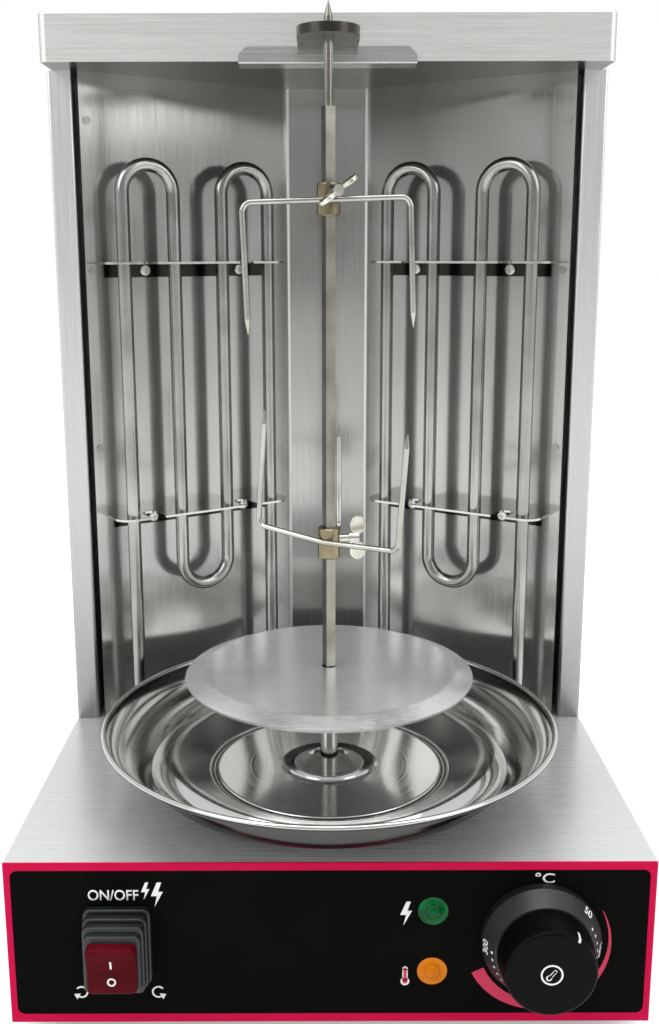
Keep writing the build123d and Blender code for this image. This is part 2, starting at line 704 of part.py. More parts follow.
def drive_bush():
    """Flanged bearing sleeve of the drive, in the base top."""
    bush = upright(0, AXIS_Y, (BASE_H - 4, BASE_H), DRIVE_BUSH_R)
    bush += upright(0, AXIS_Y, (BASE_H, BASE_H + 1.4), COUPLING_R)
    return bush - upright(0, AXIS_Y, (BASE_H - 9, BASE_H + 9), SHAFT_R + RUN_FIT)


def motor_shaft():
    return chamfer(upright(0, AXIS_Y, (SHAFT_LOW_Z, SHAFT_TOP_Z), SHAFT_R).edges().sort_by(Axis.Z)[-1], 0.5)


def square(width, z, play=0.0):
    """Square prism on the axis, standing at the resting turn of the spindle."""
    shape = extrude(Rectangle(width + 2 * play, width + 2 * play), amount=z[1] - z[0])
    return Pos(0, AXIS_Y, z[0]) * Rot(0, 0, SPIN_DEG) * shape


def drive_coupling():
    """Socket on the motor shaft that takes the square tang of the spindle."""
    body = upright(0, AXIS_Y, (COUPLING_LOW_Z, HUB_LOW_Z), COUPLING_R)
    body = chamfer(body.edges().filter_by(GeomType.CIRCLE).sort_by(Axis.Z)[-1], 0.8)
    body -= upright(0, AXIS_Y, (COUPLING_LOW_Z - 1, SHAFT_TOP_Z), SHAFT_R + WELD_FIT)
    return body - square(TANG_W, (SHAFT_TOP_Z - 0.1, HUB_LOW_Z + 1), RUN_FIT)


# ---------------------------------------------------------------- spindle
def spindle_hub():
    """Round stem under the disc with the square tang that the drive turns."""
    hub = upright(0, AXIS_Y, (HUB_LOW_Z, DISC_TOP_Z - DISC_T), HUB_R)
    hub += upright(0, AXIS_Y, (DISC_TOP_Z - DISC_T - HUB_RING_H, DISC_TOP_Z - DISC_T), HUB_RING_R)
    hub += square(TANG_W, (TANG_LOW_Z, HUB_LOW_Z))
    return hub - square(BAR_W, (BAR_LOW_Z, DISC_TOP_Z), WELD_FIT)


def meat_disc():
    """Round plate whose rim slopes down."""
    mid = DISC_TOP_Z - DISC_T / 2
    bore = BAR_W / 2 * 1.4142 + LOOSE_FIT
    line = FilletPolyline((bore, mid), (DISC_FLAT_R, mid), (DISC_R - 0.3, mid - DISC_DROP), radius=2.0)
    return Pos(0, AXIS_Y, 0) * revolve(Plane.XZ * trace(line, DISC_T), axis=Axis.Z)


def spindle_bar():
    """Square bar with a round journal and a point."""
    shape = square(BAR_W, (BAR_LOW_Z, BAR_TOP_Z))
    shape += upright(0, AXIS_Y, (BAR_TOP_Z, CONE_Z), JOURNAL_R)
    return shape + Pos(0, AXIS_Y, (CONE_Z + TIP_Z) / 2) * Cone(JOURNAL_R, 0.25, TIP_Z - CONE_Z)


# ---------------------------------------------------------------- forks
def fork_place(z, yaw, lean):
    """Frame of a fork: origin on the axis at the wire, x along its arms."""
    return Pos(0, AXIS_Y, z) * Rot(0, 0, yaw) * Rot(0, lean, 0)


WIRE_FRONT = -(COLLAR_R + WIRE_R - WIRE_IN)


def fork_arms(reach, rise):
    """Points of both arms, which meet in the groove of the collar."""
    arms = [(-reach[0], WIRE_FRONT, rise[0]), (0, WIRE_FRONT, 0), (reach[1], WIRE_FRONT, rise[1])]
    return arms if any(rise) else [arms[0], arms[2]]


def fork_wire(place, reach, rise, prong):
    """Bent wire with two sharpened prongs; a negative prong length points down."""
    side = 1 if prong > 0 else -1
    straight = prong - side * POINT_L
    ends = [(x, WIRE_FRONT, straight) for x in (-reach[0], reach[1])]
    path = wire_path([ends[0], *fork_arms(reach, rise), ends[1]], WIRE_BEND)
    shape = round_wire(path, WIRE_R)
    for end in ends:
        shape += prong_point(end, side)
    return place * shape


def prong_point(start, side):
    """Sharpened end of a prong."""
    cone = Pos(0, 0, POINT_L / 2) * Cone(WIRE_R, 0.2, POINT_L)
    return Plane(origin=start, z_dir=(0, 0, side)) * cone


def collar(z, place, arms, screw_z, screw_deg):
    """Brass collar with a square bore, a groove for the wire and a thread for the wing screw."""
    body = upright(0, AXIS_Y, z, COLLAR_R)
    body = chamfer(body.edges().filter_by(GeomType.CIRCLE), 0.5)
    body -= square(BAR_W, (z[0] - 1, z[1] + 1), RUN_FIT)
    groove = wire_path(arms, WIRE_BEND) if len(arms) > 2 else Line(*arms)
    body -= place * round_wire(groove, WIRE_R + WELD_FIT)
    direction = (cos(radians(screw_deg)), sin(radians(screw_deg)), 0)
    return body - bar((0, AXIS_Y, screw_z), direction, SCREW_R + RUN_FIT, 12)


def rear_prong():
    """Single wire prong behind the lower collar."""
    start = COLLAR_R - 2.0
    points = [(0, start, 0), (0, REAR_REACH, 0), (0, REAR_REACH, REAR_PRONG_L - POINT_L)]
    shape = round_wire(wire_path(points, WIRE_BEND), WIRE_R)
    shape += prong_point((0, REAR_REACH, REAR_PRONG_L - POINT_L), 1)
    return Pos(0, AXIS_Y, REAR_Z) * Rot(0, 0, REAR_YAW) * shape


def fillet_rim(plate, radius):
    """Round both long edges of a small flat plate."""
    return fillet(plate.edges().filter_by(GeomType.ELLIPSE), radius)


def wing_screw(z, deg, turn):
    """Thumb screw with two rounded wings."""
    tip = BAR_W * 0.75
    shank = extrude(Circle(SCREW_R), amount=WING_SHANK_L)
    boss = Pos(0, 0, WING_SHANK_L - 0.5) * extrude(Circle(3.2), amount=5.0, taper=6)
    wing = Plane.XZ * (Pos((WING_SPAN - EAR_W) / 2, 1.4) * Ellipse(EAR_W / 2, EAR_H / 2))
    wing = Pos(0, 0, WING_SHANK_L + 2.5) * fillet_rim(extrude(wing, amount=1.1, both=True), 0.6)
    screw = shank + boss + wing + mirror(wing, about=Plane.YZ)
    direction = (cos(radians(deg)), sin(radians(deg)), 0)
    across = (-sin(radians(deg)), cos(radians(deg)), 0)
    start = (direction[0] * tip, AXIS_Y + direction[1] * tip, z)
    return Plane(origin=start, x_dir=across, z_dir=direction) * Rot(0, 0, turn) * screw


# ---------------------------------------------------------------- drip tray
def drip_tray():
    """Spun round tray with a raised centre, a pressed ring and a rolled rim."""
    mid = TRAY_FLOOR_Z - TRAY_T / 2
    hump = HUMP_Z - TRAY_T / 2
    line = [
        (TRAY_HOLE_R, hump),
        (HUMP_R - 4.5, hump),
        (HUMP_R, mid),
        (TRAY_RING_R - TRAY_RING_W / 2, mid),
        (TRAY_RING_R, mid + 0.9),
        (TRAY_RING_R + TRAY_RING_W / 2, mid),
        (TRAY_FLOOR_R, mid),
        (TRAY_RIM_R - TRAY_BEAD_R, TRAY_RIM_Z - TRAY_BEAD_R),
    ]
    bends = [6.0, 1.6, 1.5, 2.0, 1.5, 5.0]
    section = trace(FilletPolyline(*line, radius=bends), TRAY_T)
    section += Pos(TRAY_RIM_R - TRAY_BEAD_R, TRAY_RIM_Z - TRAY_BEAD_R) * Circle(TRAY_BEAD_R)
    return Pos(0, AXIS_Y, 0) * revolve(Plane.XZ * section, axis=Axis.Z)


# ---------------------------------------------------------------- controls
def rounded_bar(width, height, corner, y):
    """Prism with rounded corners between two depths, centred on the switch."""
    shape = extrude(RectangleRounded(width, height, corner), amount=y[1] - y[0])
    return Plane(origin=(SWITCH_X, y[0], SWITCH_Z), x_dir=(-1, 0, 0), z_dir=(0, 1, 0)) * shape


def switch_housing():
    """Switch body behind the panel and the frame in front that carries the rocker pivot."""
    frame_y = (-12.0, PANEL_T + SHEET)
    frame = rounded_bar(BEZEL_W, BEZEL_H, 1.0, frame_y)
    frame -= rounded_bar(SWITCH_OPEN_W, SWITCH_OPEN_H, 0.5, (frame_y[0] - 1, frame_y[1]))
    body = frame + rounded_bar(SWITCH_OPEN_W + 7, SWITCH_OPEN_H + 6, 1.0, (PANEL_T + SHEET, 26.0))
    for dx in (-6.0, 6.0):
        for dz in (-8.0, 8.0):
            tab = (SWITCH_X + dx, SWITCH_Z + dz)
            body += block((tab[0] - 0.4, tab[0] + 0.4), (26, 35), (tab[1] - 3.1, tab[1] + 3.1))
    pin = bar((SWITCH_X - BEZEL_W / 2, ROCKER_PIVOT_Y, SWITCH_Z), (1, 0, 0), 1.5 + RUN_FIT, BEZEL_W)
    return body - pin


def switch_boot():
    """Ribbed rubber boot over the switch frame."""
    boot = rounded_bar(30.0, 38.0, 3.0, (-3.0, 0))
    boot = fillet(boot.edges().filter_by(Axis.Y, reverse=True).group_by(Axis.Y)[0], 1.0)
    ribs = [(-18.5, -15.5, 28.2, 31.6), (-13.2, -10.2, 29.0, 33.6), (-8.0, -5.0, 29.6, 35.6)]
    for front, back, width, height in ribs:
        rib = rounded_bar(width, height, 3.0, (front, back))
        boot += fillet(rib.edges().filter_by(Axis.Y, reverse=True), 0.9)
    boot += rounded_bar(27.2, 30.6, 2.5, (-18.0, 0))
    boot -= rounded_bar(SWITCH_OPEN_W, SWITCH_OPEN_H, 0.5, (-25, 1))
    return boot - rounded_bar(BEZEL_W, BEZEL_H, 1.0, (-12.0, 1))


def rocker():
    """Key of the switch: two faces that meet in a shallow valley, with stub pivots."""
    half = ROCKER_H / 2
    outline = [
        (-half, ROCKER_PIVOT_Y + 4), (-half, -ROCKER_OUT), (0, -ROCKER_OUT + 1.2),
        (half, -ROCKER_OUT), (half, ROCKER_PIVOT_Y + 4),
    ]
    section = make_face(Polyline(*[(z, y - ROCKER_PIVOT_Y) for z, y in outline], close=True))
    key = Plane(origin=(0, 0, 0), x_dir=(0, 0, 1), z_dir=(-1, 0, 0)) * extrude(section, amount=ROCKER_W / 2, both=True)
    key = fillet(key.edges().filter_by(Axis.X), 0.8)
    key += bar((-BEZEL_W / 2 + 0.1, 0, 0), (1, 0, 0), 1.5, BEZEL_W - 0.2)
    return Pos(SWITCH_X, ROCKER_PIVOT_Y, SWITCH_Z) * Rot(ROCKER_TILT, 0, 0) * key


def lens(z):
    """Domed lens of a signal lamp."""
    shape = bar((LAMP_X, 0, z), (0, -1, 0), LAMP_R, LAMP_OUT)
    return fillet(shape.edges().filter_by(GeomType.CIRCLE).sort_by(Axis.Y)[0], 2.6)


def lamp_bodies():
    """Lamp barrels behind the panel, each with its nut and two blades."""
    bodies = []
    for z in LAMP_Z.values():
        body = bar((LAMP_X, 0, z), (0, 1, 0), LAMP_BODY_R, 20)
        back = PANEL_T + SHEET
        nut = extrude(Plane(origin=(LAMP_X, back, z), z_dir=(0, 1, 0)) * RegularPolygon(8.5, 6), amount=4)
        body += nut
        for dx in (-2.8, 2.8):
            body += block((LAMP_X + dx - 0.3, LAMP_X + dx + 0.3), (20, 28), (z - 1.4, z + 1.4))
        bodies.append(body)
    return Compound(bodies)


def thermostat_body():
    """Capillary thermostat behind the panel."""
    box = block((DIAL_X - 18, DIAL_X + 18), (8, 30), (DIAL_Z - 16, DIAL_Z + 16))
    box = fillet(box.edges().filter_by(Axis.Y), 2.0)
    box += bar((DIAL_X, 8, DIAL_Z), (0, -1, 0), 10.0, 8 - PANEL_T - SHEET)
    box += bar((DIAL_X, 8, DIAL_Z), (0, -1, 0), 4.6, 9)
    box -= bar((DIAL_X, 20, DIAL_Z), (0, -1, 0), DIAL_SHAFT_R + RUN_FIT, 30)
    for dz in (-9.0, 9.0):
        box += block((DIAL_X - 3.1, DIAL_X + 3.1), (30, 38), (DIAL_Z + dz - 0.4, DIAL_Z + dz + 0.4))
    return box


def turned(profile, x, z):
    """Body of revolution about a depth axis; the profile is given as radius and distance out."""
    face = make_face(Polyline(*profile, close=True))
    return Plane(origin=(x, 0, z), x_dir=(1, 0, 0), z_dir=(0, 0, 1)) * mirror(
        revolve(face, axis=Axis.Y), about=Plane.XZ
    )


def thermostat_dial():
    """Fixed ring with the scale, a low cone round the knob."""
    profile = [
        (DIAL_SHAFT_R + LOOSE_FIT + 1.5, 1.0), (DIAL_R - 1.5, 1.0), (DIAL_R - 1.5, 0), (DIAL_R, 0),
        (DIAL_R, 4.5), (DIAL_CONE_R, DIAL_OUT), (DIAL_SHAFT_R + LOOSE_FIT + 1.5, DIAL_OUT),
    ]
    return turned(profile, DIAL_X, DIAL_Z)


def thermostat_shaft():
    shaft = bar((DIAL_X, 19, DIAL_Z), (0, -1, 0), DIAL_SHAFT_R, 19 + KNOB_OUT - 5)
    return chamfer(shaft.edges().filter_by(GeomType.CIRCLE).sort_by(Axis.Y)[0], 0.5)


def thermostat_knob():
    """Knob with a slightly conical side and a rounded front edge."""
    back = DIAL_OUT + KNOB_GAP
    profile = [(0, back), (KNOB_R, back), (KNOB_R, back + 2), (KNOB_FRONT_R, KNOB_OUT), (0, KNOB_OUT)]
    knob = turned(profile, DIAL_X, DIAL_Z)
    knob = fillet(knob.edges().filter_by(GeomType.CIRCLE).sort_by(Axis.Y)[0], 1.8)
    return knob - bar((DIAL_X, 0, DIAL_Z), (0, -1, 0), DIAL_SHAFT_R + WELD_FIT, KNOB_OUT - 5)


# ---------------------------------------------------------------- write every piece
def main():
    upper_place = fork_place(UPPER_WIRE_Z, UPPER_YAW, UPPER_LEAN)
    lower_place = fork_place(LOWER_WIRE_Z, LOWER_YAW, LOWER_LEAN)
    upper_arms = fork_arms(UPPER_REACH, UPPER_RISE)
    lower_arms = fork_arms(LOWER_REACH, LOWER_RISE)
    lower_collar = collar(LOWER_COLLAR_Z, lower_place, lower_arms, LOWER_SCREW_Z, LOWER_SCREW_DEG)
    prong_hole = bar((0, COLLAR_R - 2.0, 0), (0, 1, 0), WIRE_R + WELD_FIT, 6)
    lower_collar -= Pos(0, AXIS_Y, REAR_Z) * Rot(0, 0, REAR_YAW) * prong_hole
    right_heater = heater()
    right_side = side_panel()
    pieces = {
        "base_housing": base_housing(),
        "bottom_plate": bottom_plate(),
        "control_panel": control_panel(),
        "feet": feet(),
        "foot_screws": foot_screws(),
        "bottom_screws": bottom_screws(),
        "left_side_panel": mirrored(right_side),
        "right_side_panel": right_side,
        "rear_panel": rear_panel(),
        "rear_screws": rear_screws(),
        "reflector": reflector(),
        "reflector_rails": reflector_rails(),
        "reflector_rivets": reflector_rivets(),
        "ceiling_plate": ceiling_plate(),
        "ceiling_screws": ceiling_screws(),
        "top_cover": top_cover(),
        "cover_screws": cover_screws(),
        "bearing_bracket": bearing_bracket(),
        "bracket_screws": bracket_screws(),
        "left_heater": mirrored(right_heater),
        "right_heater": right_heater,
        "heater_bushes": heater_bushes(),
        "heater_terminals": heater_terminals(),
        "carrier_screws": carrier_screws(),
        "tray_seat": tray_seat(),
        "drive_bush": drive_bush(),
        "gear_motor": gear_motor(),
        "motor_bracket": motor_bracket(),
        "motor_screws": motor_screws(),
        "bracket_bolts": bracket_bolts(),
        "motor_shaft": motor_shaft(),
        "drive_coupling": drive_coupling(),
        "switch_housing": switch_housing(),
        "switch_boot": switch_boot(),
        "rocker": rocker(),
        "thermostat_body": thermostat_body(),
        "thermostat_dial": thermostat_dial(),
        "thermostat_shaft": thermostat_shaft(),
        "thermostat_knob": thermostat_knob(),
        "green_lens": lens(LAMP_Z["green"]),
        "amber_lens": lens(LAMP_Z["amber"]),
        "lamp_bodies": lamp_bodies(),
        "terminal_block": terminal_block(),
        "cable_gland": cable_gland(),
        "spindle_hub": spindle_hub(),
        "meat_disc": meat_disc(),
        "spindle_bar": spindle_bar(),
        "upper_collar": collar(UPPER_COLLAR_Z, upper_place, upper_arms, UPPER_SCREW_Z, UPPER_SCREW_DEG),
        "upper_fork": fork_wire(upper_place, UPPER_REACH, UPPER_RISE, -UPPER_PRONG_L),
        "lower_collar": lower_collar,
        "lower_fork": fork_wire(lower_place, LOWER_REACH, LOWER_RISE, LOWER_PRONG_L),
        "rear_prong": rear_prong(),
        "upper_wing_screw": wing_screw(UPPER_SCREW_Z, UPPER_SCREW_DEG, UPPER_SCREW_TURN),
        "lower_wing_screw": wing_screw(LOWER_SCREW_Z, LOWER_SCREW_DEG, LOWER_SCREW_TURN),
        "drip_tray": drip_tray(),
    }
    for name, z in CARRIER_Z.items():
        pieces[f"right_{name}_carrier"] = carrier(z)
        pieces[f"left_{name}_carrier"] = mirrored(carrier(z))
    for node, shape in pieces.items():
        save(node, shape)


main()
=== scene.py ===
"""Electric skewer grill: finishes, printed marks, smooth pieces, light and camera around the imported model."""

from math import atan2, cos, pi, radians, sin, tan

import bmesh
import bpy
from mathutils import Matrix, Vector


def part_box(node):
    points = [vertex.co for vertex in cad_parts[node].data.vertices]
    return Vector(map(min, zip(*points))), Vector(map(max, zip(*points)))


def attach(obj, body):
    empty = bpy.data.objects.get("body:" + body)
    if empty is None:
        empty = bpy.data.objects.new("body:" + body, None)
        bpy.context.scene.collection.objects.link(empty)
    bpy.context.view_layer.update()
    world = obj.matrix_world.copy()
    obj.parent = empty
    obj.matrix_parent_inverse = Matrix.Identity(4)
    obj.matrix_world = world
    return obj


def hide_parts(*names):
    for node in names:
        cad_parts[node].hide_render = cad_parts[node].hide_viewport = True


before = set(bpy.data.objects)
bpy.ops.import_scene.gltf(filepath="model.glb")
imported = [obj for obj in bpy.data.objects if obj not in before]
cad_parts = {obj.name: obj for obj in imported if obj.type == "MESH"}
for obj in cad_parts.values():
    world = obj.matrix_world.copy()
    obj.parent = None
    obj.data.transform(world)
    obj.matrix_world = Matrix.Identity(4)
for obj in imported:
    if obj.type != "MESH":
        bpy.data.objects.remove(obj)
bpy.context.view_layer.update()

# Measures below are millimetres from the lower front edge of the base, in its mid-plane.
PANEL_LOW, PANEL_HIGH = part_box("control_panel")
ORIGIN = Vector((0.0, PANEL_LOW.y, PANEL_LOW.z))


def place(x, y, z):
    """Point in the shared frame, in metres, from millimetres on the object."""
    return ORIGIN + Vector((x, y, z)) / 1000


def middle(node):
    """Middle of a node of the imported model, in millimetres on the object."""
    low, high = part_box(node)
    return ((low + high) / 2 - ORIGIN) * 1000


def standing_out(node):
    """Distance in millimetres that a node stands out of the front panel."""
    return (PANEL_LOW.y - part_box(node)[0].y) * 1000


AXIS_Y = middle("drip_tray").y
DIAL = middle("thermostat_dial")
GREEN_LENS = middle("green_lens")
AMBER_LENS = middle("amber_lens")
SWITCH = middle("switch_boot")
FOLD_X = 23.65


# ------------------------------------------------------------------ material tools
def colour(code):
    """Linear colour from an sRGB hex code."""
    parts = [int(code[i:i + 2], 16) / 255 for i in (0, 2, 4)]
    return (*[p / 12.92 if p <= 0.04045 else ((p + 0.055) / 1.055) ** 2.4 for p in parts], 1.0)


def feed(tree, node, **inputs):
    """Set a node's sockets, given by name or number, to values, hex codes, nodes or their outputs."""
    sockets = [socket for socket in node.inputs if socket.enabled]
    for key, value in inputs.items():
        name = key.replace("_", " ").strip()
        socket = sockets[int(name)] if name.isdigit() else next(item for item in sockets if item.name == name)
        if isinstance(value, bpy.types.Node):
            value = next(item for item in value.outputs if item.enabled)
        if isinstance(value, bpy.types.NodeSocket):
            tree.links.new(value, socket)
        else:
            socket.default_value = colour(value) if isinstance(value, str) else value


def add(tree, kind, settings=None, **inputs):
    """Add a node with its settings and links."""
    node = tree.nodes.new("ShaderNode" + kind)
    for key, value in (settings or {}).items():
        setattr(node, key, value)
    feed(tree, node, **inputs)
    return node


COLOURS = {"data_type": "RGBA"}
MULTIPLY_ADD = {"operation": "MULTIPLY_ADD"}


def finish(name, base, metallic, roughness, **more):
    """Material with one Principled shader; returns it with its tree and shader."""
    material = bpy.data.materials.new(name)
    material.use_nodes = True
    tree = material.node_tree
    shader = tree.nodes["Principled BSDF"]
    feed(tree, shader, Base_Color=base, Metallic=metallic, Roughness=roughness, **more)
    return material, tree, shader


def pattern(tree, size_mm, detail=2.0, rough=0.5):
    """Uneven pattern fixed to the object, with the size of its patches on each axis."""
    point = add(tree, "TexCoord").outputs["Object"]
    scale = [1000 / size for size in size_mm]
    mapped = add(tree, "Mapping", None, Vector=point, Scale=scale)
    return add(tree, "TexNoise", None, Vector=mapped, Scale=1.0, Detail=detail, Roughness=rough)


def coordinate(tree, axis):
    """Object coordinate along an axis, in metres."""
    point = add(tree, "TexCoord").outputs["Object"]
    return add(tree, "SeparateXYZ", None, Vector=point).outputs[axis]


def worked(tree, shader, grain, rough, depth_mm, strength=0.5):
    """Let a fine grain vary the roughness and raise the surface by a depth."""
    smooth, dull = rough
    roughness = add(
        tree, "MapRange", None, Value=grain,
        From_Min=0.3, From_Max=0.7, To_Min=smooth, To_Max=dull,
    )
    bump = add(tree, "Bump", None, Height=grain, Strength=strength, Distance=depth_mm / 1000)
    feed(tree, shader, Roughness=roughness, Normal=bump)


# ------------------------------------------------------------------ metals
def brushed_sheet(name, along, base, dark, rough=(0.24, 0.34), grain_mm=0.8, metallic=1.0, painted_shade=None):
    """Cold-rolled stainless sheet brushed with a belt: long fine scratches, soft stretched glints.

    The real scratches are about 0.1 mm apart; they are drawn coarser so that they show. Where the
    metal share is under one, the brushing scatters part of the light evenly. A painted shade darkens
    the colour along an axis, where the sheet's other faces or its lower end are to look greyer: it
    holds the axis, two coordinates on it, and the level of the colour at each.
    """
    smooth, dull = rough
    material, tree, shader = finish(name, base, metallic, smooth)
    size = [grain_mm, grain_mm, grain_mm]
    size["xyz".index(along)] = 60.0
    scratches = pattern(tree, size, 3.0, 0.6)
    patches = pattern(tree, [111.1] * 3)
    uneven = add(tree, "Math", MULTIPLY_ADD, _0=patches, _1=0.45, _2=scratches)
    roughness = add(
        tree, "MapRange", None, Value=uneven,
        From_Min=0.4, From_Max=1.1, To_Min=smooth, To_Max=dull,
    )
    bright = add(tree, "MapRange", None, Value=scratches, From_Min=0.3, From_Max=0.7)
    steel = add(tree, "Mix", COLOURS, Factor=bright, A=dark, B=base)
    # Painted shade: the colour is multiplied down between the two coordinates on the axis.
    if painted_shade:
        axis, near, far, level_near, level_far = painted_shade
        level = add(
            tree, "MapRange", None, Value=coordinate(tree, axis),
            From_Min=near, From_Max=far, To_Min=level_near, To_Max=level_far,
        )
        steel = add(tree, "Mix", {**COLOURS, "blend_type": "MULTIPLY"}, Factor=1.0, A=steel, B=level)
    bump = add(tree, "Bump", None, Height=scratches, Strength=0.5, Distance=0.004 / 1000)
    feed(tree, shader, Base_Color=steel, Roughness=roughness, Normal=bump)
    return material


def reflector_sheet():
    """Bright-rolled stainless behind the heaters: near mirror with heat haze, pits and folds.

    Thin painted highlights run along the folds. Beside them, under the ceiling, the sheet is painted
    dark as a reflection of the dark ceiling.
    """
    material, tree, shader = finish("bright_rolled_stainless_heat_hazed", "A9A9A7", 0.8, 0.14)
    grain = pattern(tree, (1.111, 1.111, 83.33), 2.0, 0.6)
    haze = pattern(tree, (71.43, 71.43, 166.7), 3.0)
    pits = pattern(tree, (3.03, 3.03, 3.846), 1.0)
    hazed = add(tree, "MapRange", None, Value=haze, From_Min=0.35, From_Max=0.7)
    steel = add(tree, "Mix", COLOURS, Factor=hazed, A="9C9C99", B="B0B0AE")
    pitted = add(tree, "MapRange", None, Value=pits, From_Min=0.75, From_Max=0.8, To_Max=0.35)
    steel = add(tree, "Mix", COLOURS, Factor=pitted, A=steel, B="76756D")

    # Painted reflection: the facets beside the folds are painted dark towards the top, for the dark ceiling
    # they mirror.
    side = add(tree, "Math", {"operation": "ABSOLUTE"}, _0=coordinate(tree, "X"))
    off = add(tree, "Math", {"operation": "SUBTRACT"}, _0=side, _1=FOLD_X / 1000)
    high = add(
        tree, "MapRange", None, Value=coordinate(tree, "Z"),
        From_Min=place(0, 0, 365).z, From_Max=place(0, 0, 425).z, To_Max=0.75,
    )
    outer = add(tree, "MapRange", None, Value=off, From_Min=0.03, From_Max=0.08, To_Min=1.0, To_Max=0.0)
    beside = add(tree, "MapRange", None, Value=off, From_Min=0.001, From_Max=0.003)
    strip = add(tree, "Math", {"operation": "MULTIPLY"}, _0=outer, _1=beside)
    painted_dark_mix = add(tree, "Math", {"operation": "MULTIPLY"}, _0=strip, _1=high)
    steel = add(tree, "Mix", COLOURS, Factor=painted_dark_mix, A=steel, B="5A5956")

    # Painted highlight: a thin bright line along each fold, where the roughness is also raised.
    away = add(tree, "Math", {"operation": "ABSOLUTE"}, _0=off)
    painted_fold_highlight = add(tree, "MapRange", None, Value=away, From_Min=0.0004, From_Max=0.0011, To_Min=0.85, To_Max=0.0)
    steel = add(tree, "Mix", COLOURS, Factor=painted_fold_highlight, A=steel, B="EFEFEC")
    uneven = add(tree, "Math", MULTIPLY_ADD, _0=haze, _1=0.8, _2=grain)
    rough = add(tree, "MapRange", None, Value=uneven, From_Min=0.6, From_Max=1.2, To_Min=0.09, To_Max=0.2)
    rough_at_folds = add(tree, "Math", MULTIPLY_ADD, _0=painted_fold_highlight, _1=0.3, _2=rough)
    bump = add(tree, "Bump", None, Height=grain, Strength=0.5, Distance=0.002 / 1000)
    feed(tree, shader, Base_Color=steel, Roughness=rough_at_folds, Normal=bump)
    return material


def carrier_sheet(name, node):
    """Stainless strip: the blade's edge painted pale as a highlight, the folded flange painted nearly black as
    shade.
    """
    material, tree, shader = finish(name, "5E5E5A", 1.0, 0.16)
    # Painted light: pale highlight on the blade above this height, dark shade on the flange below it.
    blade_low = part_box(node)[1].z - 0.0014
    painted_blade_highlight = add(
        tree, "MapRange", None, Value=coordinate(tree, "Z"),
        From_Min=blade_low - 0.0001, From_Max=blade_low + 0.0001,
    )
    feed(tree, shader, Base_Color=add(tree, "Mix", COLOURS, Factor=painted_blade_highlight, A="30302D", B="BDBDB9"))
    worked(tree, shader, pattern(tree, [1.4286] * 3, 3.0, 0.6), (0.12, 0.26), 0.006)
    return material


def bracket_sheet():
    """Brushed stainless bracket: bright lip, and a tongue over the spindle painted dark as the shade under it.
    """
    material, tree, shader = finish("brushed_stainless_bracket_painted_shade", "B9B9B6", 1.0, 0.24)
    lip_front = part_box("top_cover")[0].y - 0.0017
    depth = coordinate(tree, "Y")
    lip = add(tree, "MapRange", None, Value=depth, From_Min=lip_front - 0.0004, From_Max=lip_front)
    # Painted shade: the tongue is painted a mottled dark grey; the lip keeps bright steel.
    painted_dark_mix = pattern(tree, (11.11, 16.67, 16.67), 3.0)
    painted_shade_tongue = add(tree, "Mix", COLOURS, Factor=painted_dark_mix, A="35342F", B="4E4D48")
    feed(tree, shader, Base_Color=add(tree, "Mix", COLOURS, Factor=lip, A=painted_shade_tongue, B="C2C2C0"))
    worked(tree, shader, pattern(tree, (62.5, 0.6667, 0.6667), 3.0, 0.6), (0.2, 0.36), 0.004)
    return material


def spun_steel(name, base, rough, ring_mm, wave=12.0):
    """Stainless spun on a lathe: faint rings round the axis, slightly wavy, which bends what it mirrors."""
    smooth, dull = rough
    material, tree, shader = finish(name, base, 1.0, smooth)
    point = add(tree, "TexCoord").outputs["Object"]
    axis = place(0, AXIS_Y, 0)
    centred = add(tree, "Mapping", None, Vector=point, Location=(-axis.x, -axis.y, 0.0), Scale=(1, 1, 0))
    radius = add(tree, "VectorMath", {"operation": "LENGTH"}, _0=centred)
    rings = add(tree, "TexNoise", {"noise_dimensions": "1D"}, W=radius, Scale=1000 / ring_mm, Detail=2.0)
    smears = pattern(tree, [45.45] * 3, 3.0)
    uneven = add(tree, "Math", MULTIPLY_ADD, _0=smears, _1=0.8, _2=rings)
    roughness = add(
        tree, "MapRange", None, Value=uneven,
        From_Min=0.6, From_Max=1.3, To_Min=smooth, To_Max=dull,
    )
    height = add(tree, "Math", MULTIPLY_ADD, _0=smears, _1=wave, _2=rings)
    bump = add(tree, "Bump", None, Height=height, Strength=0.3, Distance=0.003 / 1000)
    feed(tree, shader, Roughness=roughness, Normal=bump)
    return material


def sheathed_rod():
    """Annealed stainless heater sheath: satin, with straw and grey tints from the first heating."""
    material, tree, shader = finish("annealed_stainless_sheath", "9A9A98", 1.0, 0.2)
    bands = pattern(tree, (55.56, 55.56, 33.33))
    tinted = add(tree, "MapRange", None, Value=bands, From_Min=0.35, From_Max=0.65)
    feed(tree, shader, Base_Color=add(tree, "Mix", COLOURS, Factor=tinted, A="8E8E8B", B="A6A6A4"))
    worked(tree, shader, pattern(tree, (1.111, 1.111, 25.0)), (0.14, 0.26), 0.01, 0.4)
    return material


def plain_metal(name, base, dark, rough, grain_mm, depth_mm):
    """Small metal piece with a fine even tool or casting grain."""
    material, tree, shader = finish(name, base, 1.0, rough[0])
    broad = add(tree, "MapRange", None, Value=pattern(tree, [16.667] * 3), From_Min=0.35, From_Max=0.65)
    feed(tree, shader, Base_Color=add(tree, "Mix", COLOURS, Factor=broad, A=dark, B=base))
    worked(tree, shader, pattern(tree, [grain_mm] * 3, 3.0, 0.6), rough, depth_mm)
    return material


